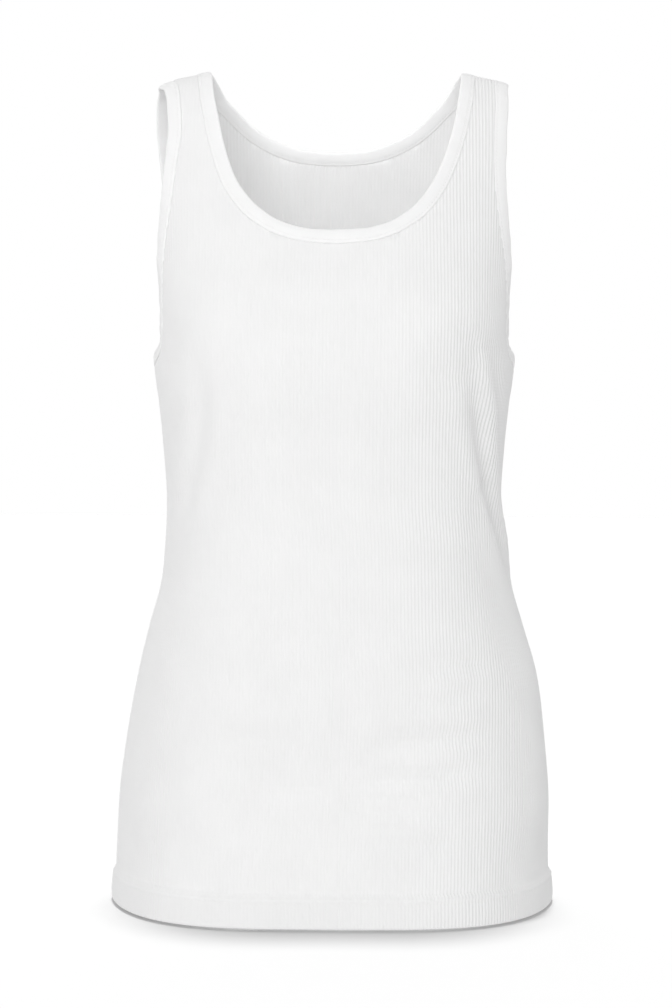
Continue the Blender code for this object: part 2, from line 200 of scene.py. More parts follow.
LEVELS = (
    Level(0, 175.0, 0.0, 0.0, 2.20, 2.20),
    Level(20, 170.0, 29.5, 37.0, 2.25, 2.25),
    Level(50, 161.0, 47.0, 58.0, 2.40, 2.40),
    Level(100, 149.8, 69.0, 77.0, 2.60, 2.60),
    Level(150, 143.6, 89.0, 87.0, 2.75, 2.90),
    Level(200, 136.2, 105.5, 89.5, 2.75, 3.50),
    Level(217, 136.2, 108.0, 88.5, 2.75, 3.10),
    Level(227, 140.6, 109.2, 87.8, 2.75, 2.30),
    Level(237, 142.4, 110.0, 87.0, 2.75, 2.30),
    Level(265, 138.6, 107.0, 83.0, 2.80, 2.40),
    Level(300, 135.2, 101.0, 77.0, 2.80, 2.20),
    Level(342, 132.6, 96.5, 72.0, 2.80, 2.10, 0.3),
    Level(375, 135.4, 97.0, 75.0, 2.90, 2.00, 2.0),
    Level(405, 138.6, 99.5, 81.0, 3.00, 1.95, 2.6),
    Level(440, 148.0, 104.0, 90.0, 3.10, 1.90, 2.8),
    Level(480, 158.3, 109.0, 99.0, 3.30, 1.80, 3.8),
    Level(530, 166.0, 113.0, 106.0, 3.40, 1.75, 2.7),
    Level(580, 171.0, 116.5, 109.5, 3.60, 1.70, 1.7),
    Level(LENGTH - 26, 172.0, 118.0, 111.0, 3.70, 1.60, 0.4),
    Level(LENGTH - HEM_DEPTH, 173.9, 120.0, 113.0, 3.80, 1.60, 0.5),
    Level(LENGTH, 174.3, 120.8, 113.8, 3.80, 1.60, 0.5),
)

SWELLS = (
    Fullness(Face.FRONT, 83.0, 212.0, 46.0, 52.0, 5.0),
    Fullness(Face.BACK, 62.0, 150.0, 50.0, 60.0, 3.0),
)


@dataclass
class Form:
    """The surface that the cloth lies on, read by part and root.

    part runs from -1 to 1 between the side seams, as a share of the length round a level ring.
    root is the square root of the drop below the ridge.
    """

    levels: tuple[Level, ...] = LEVELS
    swells: tuple[Fullness, ...] = SWELLS
    strap_lift: float = 3.0
    slope_start: float = 95.0
    slope_ease: float = 10.0
    shoulder_slope: float = 0.20
    slope_reach: float = 160.0
    curl_start: float = 125.0
    curl_width: float = 26.0
    curl_fall: float = 9.0
    swell_ease: float = 40.0
    nudge: float = 1e-3
    rows: int = 321
    shares: int = 321
    turns: int = 721
    _angle: dict[Face, np.ndarray] = field(default_factory=dict, init=False)
    _half: dict[Face, np.ndarray] = field(default_factory=dict, init=False)

    def __post_init__(self) -> None:
        """Work out, for each panel, the ring's angle at each share of its length."""
        self.top_root = math.sqrt(LENGTH)
        quarter = np.linspace(0.0, math.pi / 2, self.turns)
        share = np.linspace(0.0, 1.0, self.shares)
        for face in Face:
            angles, lengths = [], []
            for root in np.linspace(0.0, self.top_root, self.rows):
                across, out = self.ring(face, np.full_like(quarter, root), quarter)
                run = run_length(np.stack([across, out], axis=-1))
                angles.append(np.interp(share * run[-1], run, quarter))
                lengths.append(run[-1])
            self._angle[face] = np.array(angles)
            self._half[face] = np.array(lengths)

    def column(self, name: str, root: np.ndarray) -> np.ndarray:
        """One column of the table of levels at some roots."""
        roots = np.sqrt([level.drop for level in self.levels])
        return smooth_read(root, roots, [getattr(level, name) for level in self.levels])

    def ring(self, face: Face, root: np.ndarray, angle: np.ndarray) -> tuple[np.ndarray, np.ndarray]:
        """Quarter of a level ring: half_width * sin(angle)^(2/p) across, depth * cos(angle)^(2/q) out.

        Args:
            face: The panel.
            root: Root of each point.
            angle: 0 on the centre line, a quarter turn at the side seam.

        Returns:
            Distance across and distance out of each point.
        """
        depth = self.column(face.name.lower(), root)
        across = self.column("half_width", root)
        across = across * np.sin(angle) ** (2 / self.column("across_power", root))
        out = depth * np.abs(np.cos(angle)) ** (2 / self.column("out_power", root))
        return across, out

    def half_length(self, face: Face, root: np.ndarray) -> np.ndarray:
        """Length round a level ring from the centre line to the side seam."""
        return np.interp(root, np.linspace(0.0, self.top_root, self.rows), self._half[face])

    def angle_at(self, face: Face, root: np.ndarray, share: np.ndarray) -> np.ndarray:
        """Angle at a share of a ring's length, read between the four nearest entries.

        Args:
            face: The panel.
            root: Root of each point.
            share: Share of the length from the centre line, 0 to 1.

        Returns:
            Angle of each point.
        """
        table = self._angle[face]
        row = np.clip(root / self.top_root, 0, 1) * (self.rows - 1)
        column = np.clip(share, 0, 1) * (self.shares - 1)
        low_row = np.minimum(row.astype(int), self.rows - 2)
        low_column = np.minimum(column.astype(int), self.shares - 2)
        down, along = row - low_row, column - low_column
        upper = table[low_row, low_column] * (1 - along) + table[low_row, low_column + 1] * along
        lower = table[low_row + 1, low_column] * (1 - along)
        lower = lower + table[low_row + 1, low_column + 1] * along
        return upper * (1 - down) + lower * down

    def place(self, face: Face, part: np.ndarray, root: np.ndarray) -> np.ndarray:
        """Points of the surface. Past a side seam or over the ridge it goes on as its mirror image,
        which keeps its directions true at the seams.

        Args:
            face: The panel.
            part: Part of each point.
            root: Root of each point.

        Returns:
            Points, one a row.
        """
        part, root = np.broadcast_arrays(np.asarray(part, float), np.asarray(root, float))
        turned = np.where(np.abs(part) > 1, -1.0, 1.0) * np.where(root < 0, -1.0, 1.0)
        part = np.where(np.abs(part) > 1, np.sign(part) * (2 - np.abs(part)), part)
        root = np.abs(root)
        drop = root**2
        across, out = self.ring(face, root, self.angle_at(face, root, np.abs(part)))
        x = np.sign(part) * across
        past = np.abs(x) - self.slope_start
        fall = self.shoulder_slope * (np.hypot(past, self.slope_ease) + past) / 2
        curled = (np.abs(x) - self.curl_start) / self.curl_width
        fall = fall + self.curl_fall * smooth_step(curled)
        z = self.strap_lift - drop - fall * (1 - smooth_step(drop / self.slope_reach))
        swell = np.zeros_like(out)
        for full in self.swells:
            if full.face is face:
                near = ((np.abs(x) - full.across) / full.half_wide) ** 2
                near = near + ((drop - full.drop) / full.half_tall) ** 2
                swell = swell + full.height * np.exp(-near)
        out = out + swell * smooth_step(out / self.swell_ease)
        return np.stack([x + self.column("sway", root), face.value * turned * out, z], axis=-1)

    def surface(self, face: Face, part: np.ndarray, root: np.ndarray) -> tuple[np.ndarray, np.ndarray]:
        """Points and outward directions: the cross product of the differences along and down.

        Args:
            face: The panel.
            part: Part of each point.
            root: Root of each point.

        Returns:
            Points and directions, one a row.
        """
        step = self.nudge
        along = self.place(face, part + step, root) - self.place(face, part - step, root)
        down = self.place(face, part, root + step) - self.place(face, part, root - step)
        return self.place(face, part, root), unit(face.value * np.cross(along, down))

    def part_at(self, face: Face, across: float, drop: float) -> float:
        """The part that lies at a distance from the centre line, at a drop.

        Args:
            face: The panel.
            across: Distance straight across from the centre line.
            drop: Drop below the ridge.

        Returns:
            The part.
        """
        angle = np.linspace(0.0, math.pi / 2, self.turns)
        ring_across, out = self.ring(face, np.full_like(angle, math.sqrt(drop)), angle)
        run = run_length(np.stack([ring_across, out], axis=-1))
        return float(np.interp(across, ring_across, run) / run[-1])


# ---- Seams round the neck and the armholes ----


# Places that a seam passes, as (reach, drop). reach is the distance from the centre line for the
# neck, and the length of cloth scooped in from the side seam's line for an armhole.
SEAM_ROWS = {
    (Opening.NECK, Face.FRONT): (
        (0.0, 149.0), (23.0, 147.5), (43.0, 142.0), (65.0, 128.5), (78.0, 114.0), (88.0, 96.5),
        (97.3, 72.0), (103.3, 49.0), (108.0, 24.0), (111.6, 0.0),
    ),
    (Opening.NECK, Face.BACK): (
        (0.0, 63.5), (25.0, 62.0), (44.0, 57.8), (61.0, 51.0), (75.0, 42.5), (88.0, 31.0),
        (101.0, 16.5), (111.6, 0.0),
    ),
    (Opening.ARMHOLE, Face.FRONT): (
        (47.2, 0.0), (50.3, 9.0), (52.0, 22.0), (54.5, 52.0), (57.0, 88.0), (58.5, 128.0),
        (55.5, 162.0), (51.5, 190.0), (49.3, 208.0), (46.8, 219.0), (41.5, 227.0), (32.0, 232.7),
        (17.0, 236.4), (0.0, 237.5),
    ),
    (Opening.ARMHOLE, Face.BACK): (
        (47.2, 0.0), (50.9, 9.0), (53.0, 22.0), (55.5, 52.0), (56.5, 88.0), (54.5, 128.0),
        (51.5, 162.0), (48.5, 190.0), (45.0, 208.0), (39.5, 221.0), (31.0, 230.0), (18.0, 235.5),
        (0.0, 237.5),
    ),
}


# How much the strap at -X sits turned: what its seams' reaches grow by, against drop
TURN_DROP = (0.0, 9.0, 24.0, 52.0, 72.0, 92.0, 128.0, 170.0, 200.0, 225.0)
STRAP_TURN = {
    (Opening.ARMHOLE, Face.FRONT): (-4.6, 0.6, 3.6, 3.4, 1.2, -1.8, -2.6, -1.6, -1.0, 0.0),
    (Opening.ARMHOLE, Face.BACK): (-4.6, -7.4, -7.6, -7.0, -6.6, -5.4, -3.0, -1.2, -0.6, 0.0),
    (Opening.NECK, Face.FRONT): (-0.8, -1.5, -1.8, -1.8, -1.2, 0.0, 0.0, 0.0, 0.0, 0.0),
    (Opening.NECK, Face.BACK): (-0.8, 0.0, 0.0, 0.0, 0.0, 0.0, 0.0, 0.0, 0.0, 0.0),
}

EdgeLine = tuple[np.ndarray, np.ndarray]


@dataclass
class Seam:
    """An opening's closed seam: stations on the cloth, with outward and inward directions.

    edge gives the opening's side as part against root, by panel and hand, for trimming the cloth.
    """

    opening: Opening
    point: np.ndarray
    normal: np.ndarray
    inward: np.ndarray
    edge: dict[tuple[Face, Hand], EdgeLine]

    @property
    def run(self) -> np.ndarray:
        """Length run along the seam at each station."""
        return run_length(self.point)

    def gap_from(self, points: np.ndarray) -> np.ndarray:
        """Distance from points to the seam: to the nearer of the two lengths beside the nearest
        station.

        Args:
            points: Points, one a row.

        Returns:
            Distances, never negative.
        """
        square = np.sum(points**2, axis=1)[:, None] + np.sum(self.point**2, axis=1)[None]
        nearest = np.argmin(square - 2 * points @ self.point.T, axis=1)
        best = np.full(len(points), np.inf)
        for beside in (-1, 1):
            start = self.point[nearest]
            way = self.point[(nearest + beside) % len(self.point)] - start
            share = np.sum((points - start) * way, axis=1) / np.sum(way * way, axis=1)
            foot = start + np.clip(share, 0, 1)[:, None] * way
            best = np.minimum(best, np.linalg.norm(points - foot, axis=1))
        return best


@dataclass
class SeamCutter:
    """Works the seams out on a form."""

    form: Form
    spacing: float = 2.0
    samples: int = 500
    neck_centre: tuple[float, float, float] = (0.0, 0.0, -40.0)
    armhole_centre: tuple[float, float, float] = (130.0, 0.0, -110.0)

    def half(
        self, face: Face, rows: list[tuple[float, float]], before: tuple, after: tuple
    ) -> tuple[np.ndarray, np.ndarray, np.ndarray]:
        """One panel's half of a seam.

        Args:
            face: The panel.
            rows: (part, root) of each row of the seam's table.
            before: The row beyond the first, which sets the direction there.
            after: The row beyond the last.

        Returns:
            Points and normals at even spacing, and the dense (part, root) line.
        """
        table = np.array([before, *rows, after])
        chord = run_length(self.form.place(face, table[:, 0], table[:, 1]))
        at = np.linspace(chord[1], chord[-2], self.samples)
        line = np.stack([smooth_read(at, chord, table[:, 0]), smooth_read(at, chord, table[:, 1])], -1)
        points, normals = self.form.surface(face, line[:, 0], line[:, 1])
        run = run_length(points)
        even = np.linspace(0.0, run[-1], round(run[-1] / self.spacing) + 1)
        pick = read_rows(even, run, np.hstack([points, normals]))
        return pick[:, :3], pick[:, 3:], line

    @staticmethod
    def close(
        opening: Opening, points: np.ndarray, normals: np.ndarray, towards: tuple, edge: dict
    ) -> Seam:
        """Make the closed seam, its inward direction the normal crossed with the way along it.

        Args:
            opening: The kind of opening.
            points: Stations of the seam, once round.
            normals: The cloth's outward direction at each.
            towards: A point in the opening.
            edge: The seam as trimming lines, by panel and hand.

        Returns:
            The seam.
        """
        normals = unit(normals)
        along = np.roll(points, -1, axis=0) - np.roll(points, 1, axis=0)
        inward = unit(np.cross(normals, along))
        if np.sum(inward * (np.asarray(towards) - points)) < 0:
            inward = -inward
        return Seam(opening, points, normals, inward, edge)

    @staticmethod
    def rows(opening: Opening, face: Face, hand: Hand) -> list[tuple[float, float]]:
        """A seam's rows on one panel and hand, with the turn of the strap at -X added.

        Args:
            opening: The kind of opening.
            face: The panel.
            hand: The side.

        Returns:
            (reach, drop) of each row.
        """
        table = SEAM_ROWS[opening, face]
        if hand is Hand.PLUS_X:
            return list(table)
        reaches, drops = np.array(table).T
        turn = smooth_read(np.minimum(drops, TURN_DROP[-1]), TURN_DROP, STRAP_TURN[opening, face])
        return list(zip((reaches + turn).tolist(), drops.tolist()))

    def neck(self) -> Seam:
        """The neck's seam, from the front centre over the +X strap and round.

        Returns:
            The seam.
        """
        quarter, edge = {}, {}
        for hand in Hand:
            rows = {
                face: [
                    (self.form.part_at(face, reach, drop), math.sqrt(drop))
                    for reach, drop in self.rows(Opening.NECK, face, hand)
                ]
                for face in Face
            }
            for face, other in OTHER_FACE.items():
                before = (-rows[face][1][0], rows[face][1][1])
                after = (rows[other][-2][0], -rows[other][-2][1])
                points, normals, line = self.half(face, rows[face], before, after)
                mirror = np.array([hand.value, 1.0, 1.0])
                quarter[face, hand] = np.hstack([points * mirror, normals * mirror])
                edge[face, hand] = self.edge_of(line)
        loop = np.vstack([
            quarter[Face.FRONT, Hand.PLUS_X],
            quarter[Face.BACK, Hand.PLUS_X][-2::-1],
            quarter[Face.BACK, Hand.MINUS_X][1:],
            quarter[Face.FRONT, Hand.MINUS_X][-2:0:-1],
        ])
        return self.close(Opening.NECK, loop[:, :3], loop[:, 3:], self.neck_centre, edge)

    def armhole(self, hand: Hand) -> Seam:
        """One armhole's seam, from the shoulder down the front and up the back.

        Args:
            hand: The side.

        Returns:
            The seam.
        """
        rows = {}
        for face in Face:
            reach, drop = np.array(self.rows(Opening.ARMHOLE, face, hand)).T
            part = 1 - reach / self.form.half_length(face, np.sqrt(drop))
            rows[face] = list(zip(part.tolist(), np.sqrt(drop).tolist()))
        halves = {}
        for face, other in OTHER_FACE.items():
            before = (rows[other][1][0], -rows[other][1][1])
            after = (2 - rows[other][-2][0], rows[other][-2][1])
            halves[face] = self.half(face, rows[face], before, after)
        front, back = halves[Face.FRONT], halves[Face.BACK]
        mirror = np.array([hand.value, 1.0, 1.0])
        points, normals = (np.vstack([front[k], back[k][-2:0:-1]]) * mirror for k in (0, 1))
        edge = {(face, hand): self.edge_of(halves[face][2]) for face in Face}
        centre = mirror * self.armhole_centre
        return self.close(Opening.ARMHOLE, points, normals, centre, edge)

    @staticmethod
    def edge_of(line: np.ndarray) -> tuple[np.ndarray, np.ndarray]:
        """Roots, rising, and the part of the seam at each."""
        order = np.argsort(line[:, 1])
        return line[order, 1], np.abs(line[order, 0])


# ---- Meshes ----


def add_mesh(
    name: str, points: np.ndarray, blocks: list[np.ndarray], uv: np.ndarray | None = None
) -> bpy.types.Object:
    """Put arrays into a mesh object at the origin, shaded smooth.

    Args:
        name: The piece's name.
        points: Points in mm, one a row.
        blocks: Arrays of faces, each with its own number of corners.
        uv: Two coordinates for each point or for each corner of the faces, or None.

    Returns:
        The object.
    """
    blocks = [block for block in blocks if len(block)]
    corners = np.concatenate([block.ravel() for block in blocks]).astype(np.int32)
    sizes = np.concatenate([np.full(len(block), block.shape[1]) for block in blocks])
    mesh = bpy.data.meshes.new(name)
    mesh.vertices.add(len(points))
    mesh.vertices.foreach_set("co", (points * MM).ravel())
    mesh.loops.add(len(corners))
    mesh.loops.foreach_set("vertex_index", corners)
    mesh.polygons.add(len(sizes))
    starts = np.concatenate(([0], np.cumsum(sizes)[:-1])).astype(np.int32)
    mesh.polygons.foreach_set("loop_start", starts)
    mesh.polygons.foreach_set("use_smooth", np.ones(len(sizes), bool))
    if uv is not None:
        by_corner = uv if len(uv) == len(corners) else uv[corners]
        mesh.uv_layers.new(name="cloth").data.foreach_set("uv", by_corner.ravel())
    mesh.update(calc_edges=True)
    piece = bpy.data.objects.new(name, mesh)
    bpy.context.scene.collection.objects.link(piece)
    return piece


def tube_faces(along: np.ndarray, around: np.ndarray) -> tuple[np.ndarray, np.ndarray]:
    """Quads round a closed tube of rings that also closes end to end, and their corners' UVs.

    Args:
        along: Length at each ring, and last the whole length.
        around: Length round the ring at each of its points, and last the whole girth.

    Returns:
        The quads, and for each the (around, along) of its four corners.
    """
    rings, sides = len(along) - 1, len(around) - 1
    ring, side = (a.ravel() for a in np.meshgrid(np.arange(rings), np.arange(sides), indexing="ij"))
    walk = [(ring, side), (ring + 1, side), (ring + 1, side + 1), (ring, side + 1)]
    quads = np.stack([r % rings * sides + s % sides for r, s in walk], axis=-1)
    uv = np.stack([np.stack([around[s], along[r]], axis=-1) for r, s in walk], axis=1)
    return quads, uv


def faces_outwards(points: np.ndarray, quads: np.ndarray, outward: np.ndarray) -> bool:
    """Whether most faces look outwards.

    Args:
        points: Points, one a row.
        quads: Faces, by their corners' numbers.
        outward: The outward direction at each point.

    Returns:
        True where the faces' areas, counted along the direction at their first corner, come to
        more than 0.
    """
    a, b, c = (points[quads[:, k]] for k in range(3))
    facing = np.sum(np.cross(b - a, c - a) * outward[quads[:, 0]], axis=1)
    return float(np.sum(facing)) > 0


@dataclass
class Trimmed:
    """A grid cut along a line: across and root of each point kept, and the faces by corner count.

    across is the length of cloth from the centre line, in mm.
    """

    across: np.ndarray
    root: np.ndarray
    blocks: list[np.ndarray]

    def rim(self) -> np.ndarray:
        """Edges that have a face on one side only, in their face's own direction.

        Returns:
            The edges, as pairs of point numbers.
        """
        pairs = []
        for block in self.blocks:
            pairs.append(np.stack([block, np.roll(block, -1, axis=1)], axis=-1).reshape(-1, 2))
        pairs = np.concatenate(pairs)
        count = len(self.across)
        code, back = pairs[:, 0] * count + pairs[:, 1], pairs[:, 1] * count + pairs[:, 0]
        return pairs[~np.isin(code, back)]


def trim_grid(columns: np.ndarray, roots: np.ndarray, keep: np.ndarray) -> Trimmed:
    """Keep what of a grid has a value over 0, cutting the cells that the zero line crosses.

    A cell's outline is walked once round: a corner that is kept is a corner of the face, and so is
    the place where an edge's value, taken as straight, passes 0.

    Args:
        columns: Length of cloth from the centre line at each column.
        roots: Level of each row.
        keep: Value at each point of the grid.

    Returns:
        The trimmed grid.
    """
    across, root = (a.ravel() for a in np.broadcast_arrays(columns[None, :], roots[:, None]))
    index = np.arange(keep.size).reshape(keep.shape)
    inside = keep > 0

    def crossings(first: np.ndarray, second: np.ndarray, offset: int) -> tuple:
        """Points where edges pass 0.

        Args:
            first: Number of each edge's first point.
            second: Number of its second point.
            offset: Number that the first new point gets.

        Returns:
            across and root of each new point, and its number on the grid of edges, or -1.
        """
        one, two = keep.ravel()[first], keep.ravel()[second]
        crossed = (one > 0) != (two > 0)
        number = np.full(first.shape, -1)
        number[crossed] = offset + np.arange(crossed.sum())
        share = one[crossed] / (one[crossed] - two[crossed])
        a, b = first[crossed], second[crossed]
        at = across[a] + share * (across[b] - across[a])
        return at, root[a] + share * (root[b] - root[a]), number

    level_across, level_root, level = crossings(index[:, :-1], index[:, 1:], keep.size)
    offset = keep.size + len(level_across)
    wale_across, wale_root, wale = crossings(index[:-1], index[1:], offset)
    all_across = np.concatenate([across, level_across, wale_across])
    all_root = np.concatenate([root, level_root, wale_root])

    corner = [index[:-1, :-1], index[:-1, 1:], index[1:, 1:], index[1:, :-1]]
    kept = [inside[:-1, :-1], inside[:-1, 1:], inside[1:, 1:], inside[1:, :-1]]
    edge = [level[:-1], wale[:, 1:], level[1:], wale[:, :-1]]
    case = sum(k.astype(int) << i for i, k in enumerate(kept))
    blocks = []
    for kind in range(1, 16):
        cells = case == kind
        if not cells.any():
            continue
        walk = []
        for side in range(4):
            here, following = bool(kind >> side & 1), bool(kind >> (side + 1) % 4 & 1)
            if here:
                walk.append(corner[side][cells])
            if here != following:
                walk.append(edge[side][cells])
        blocks.append(np.stack(walk, axis=-1))
    used = np.unique(np.concatenate([block.ravel() for block in blocks]))
    renumber = np.full(len(all_across), -1)
    renumber[used] = np.arange(len(used))
    return Trimmed(all_across[used], all_root[used], [renumber[block] for block in blocks])


# ---- Creases ----


@dataclass(frozen=True)
class Crease:
    """A soft trough, or a ridge where depth is negative.

    path runs through (length of cloth from the centre line, drop). half_width is where it has
    faded to a third. shoulder is the share of its depth that the cloth beside it rises.
    """

    path: tuple[tuple[float, float], ...]
    half_width: float
    depth: float
    shoulder: float = 0.3

    def dip(self, along: np.ndarray, drop: np.ndarray) -> np.ndarray:
        """How far the cloth goes in: depth * (e^-(d/w)^2 - shoulder * e^-(|d|/w - 1.9)^2), faded in
        and out over the first and last third of the path.

        Args:
            along: Length of cloth from the centre line, signed.
            drop: Drop below the ridge.

        Returns:
            Depth at each point.
        """
        knots = np.arange(len(self.path), dtype=float)
        fine = np.linspace(0.0, knots[-1], 8 * (len(knots) - 1) + 1)
        table = np.array(self.path, float)
        line = np.stack([smooth_read(fine, knots, table[:, k]) for k in (0, 1)], axis=-1)
        reach = 4 * self.half_width
        low, high = line.min(axis=0) - reach, line.max(axis=0) + reach
        near = (along > low[0]) & (along < high[0]) & (drop > low[1]) & (drop < high[1])
        place = np.stack([along[near], drop[near]], axis=-1)
        run = run_length(line)
        best, share = np.full(len(place), np.inf), np.zeros(len(place))
        for k in range(len(line) - 1):
            way = line[k + 1] - line[k]
            part = np.clip((place - line[k]) @ way / (way @ way), 0, 1)
            off = place - line[k] - part[:, None] * way
            gap = np.hypot(off[:, 0], off[:, 1])
            closer = gap < best
            best = np.where(closer, gap, best)
            share = np.where(closer, (run[k] + part * (run[k + 1] - run[k])) / run[-1], share)
        off = best / self.half_width
        shape = np.exp(-(off**2)) - self.shoulder * np.exp(-((off - 1.9) ** 2))
        fade = smooth_step(share * 3) * smooth_step((1 - share) * 3)
        result = np.zeros_like(along)
        result[near] = self.depth * shape * fade
        return result


CREASES = {
    Face.FRONT: (
        # The long trough at the +X waist, and the edge of the side's fold above it
        Crease(((101, 236), (110, 262), (120, 290), (129, 317), (138, 340), (148, 362), (161, 386),
                (176, 408), (190, 428)), 8.5, 5.6, 0.35),
        Crease(((116, 222), (121, 242), (128, 260), (136, 277), (148, 292)), 7.0, -2.2),
        # The same at -X, fainter and lower
        Crease(((-101, 236), (-103, 268), (-108, 298), (-118, 325), (-127, 345), (-142, 368)),
               9.0, 2.6),
        # Short slack folds that run in from the waist
        Crease(((150, 318), (128, 330), (108, 352)), 6.0, 1.3),
        Crease(((-150, 330), (-128, 338), (-104, 352)), 6.5, 1.3),
        # Under the bust
        Crease(((-149, 247), (-122, 245), (-96, 246)), 9.0, 2.4),
        Crease(((116, 247), (92, 249), (66, 254)), 9.0, 1.6),
        # Slack across the belly and the hips
        Crease(((48, 473), (89, 468), (130, 465)), 6.5, 2.8),
        Crease(((36, 498), (77, 493), (118, 484)), 8.0, 2.0),
        Crease(((12, 524), (66, 520), (124, 519)), 6.5, 3.4),
        Crease(((6, 536), (47, 531), (96, 527)), 6.0, 1.8),
        Crease(((0, 554), (40, 551), (84, 548), (126, 546)), 7.0, 3.5),
        Crease(((-8, 573), (43, 574), (92, 574)), 7.0, 2.6),
        Crease(((8, 600), (52, 600), (104, 598)), 6.5, 2.9),
        Crease(((-104, 519), (-60, 519), (-16, 518)), 7.0, 2.3),
        Crease(((-74, 557), (-34, 559), (6, 557)), 7.0, 2.0),
        Crease(((4, 484), (7, 506), (10, 530)), 9.0, 1.4, 0.25),
        Crease(((-128, 602), (-98, 596), (-60, 600)), 9.0, 1.3),
        # The cloth turns under the belly and hangs free below it
        Crease(((-116, 570), (-50, 560), (10, 556), (60, 560), (104, 572)), 36.0, 7.0, 0.25),
        # The rounded edge of the +X hip, where the front turns into the side
        Crease(((158, 430), (166, 500), (172, 570), (174, 640)), 38.0, -4.0),
        # Pulls from the underarms towards the bust
        Crease(((120, 226), (104, 222), (90, 212)), 6.0, 1.1),
        Crease(((-122, 228), (-106, 222), (-92, 214)), 6.0, 1.1),
        # A faint hollow between the two sides of the bust
        Crease(((0, 190), (2, 230), (0, 268)), 22.0, 1.4, 0.1),
    ),
    # Slack at the waist, and a soft hollow down the middle
    Face.BACK: (
        Crease(((-96, 330), (-50, 342), (-6, 338)), 10.0, 1.6, 0.35),
        Crease(((12, 352), (60, 346), (108, 330)), 9.0, 1.4, 0.35),
        Crease(((-70, 368), (-28, 376), (20, 370)), 9.0, 1.2, 0.35),
        Crease(((34, 384), (74, 380), (112, 366)), 8.0, 0.9),
        Crease(((-118, 300), (-92, 312), (-60, 312)), 8.0, 0.9),
        Crease(((70, 304), (98, 300), (126, 288)), 7.0, 0.8),
        Crease(((0, 120), (2, 220), (0, 320)), 16.0, 1.6, 0.15),
        Crease(((-40, 560), (-2, 566), (46, 560)), 9.0, 0.8),
        Crease(((-104, 590), (-70, 596), (-30, 592)), 8.0, 0.6),
        Crease(((118, 240), (98, 236), (80, 224)), 7.0, 0.7),
        Crease(((-118, 242), (-100, 236), (-82, 226)), 7.0, 0.7),
    ),
}


# ---- Finishes ----


def linear(hex_colour: str) -> tuple[float, float, float, float]:
    """Turn an sRGB colour linear.

    Args:
        hex_colour: The colour, as #RRGGBB.

    Returns:
        Linear red, green and blue, and a full alpha.
    """
    shares = [int(hex_colour.lstrip("#")[k : k + 2], 16) / 255 for k in (0, 2, 4)]
    values = [s / 12.92 if s <= 0.04045 else ((s + 0.055) / 1.055) ** 2.4 for s in shares]
    return (*values, 1.0)


def add_node(
    tree: bpy.types.NodeTree, kind: str, settings: dict | None = None, links: dict | None = None
) -> bpy.types.Node:
    """Add a node with its settings and links.

    Args:
        tree: The tree of a material or of the world.
        kind: The node's type name, without its ShaderNode.
        settings: Properties by name, or socket values by name or number.
        links: For a socket's name or number, the output that feeds it.

    Returns:
        The node.
    """
    node = tree.nodes.new("ShaderNode" + kind)
    for name, value in (settings or {}).items():
        if isinstance(name, str) and hasattr(node, name):
            setattr(node, name, value)
        else:
            node.inputs[name].default_value = value
    for name, output in (links or {}).items():
        tree.links.new(output, node.inputs[name])
    return node


def new_material(name: str) -> tuple[bpy.types.Material, bpy.types.NodeTree]:
    """Start a material.

    Args:
        name: Its name.

    Returns:
        The material, with no nodes yet, and its tree.
    """
    material = bpy.data.materials.new(name)
    material.use_nodes = True
    material.node_tree.nodes.clear()
    return material, material.node_tree


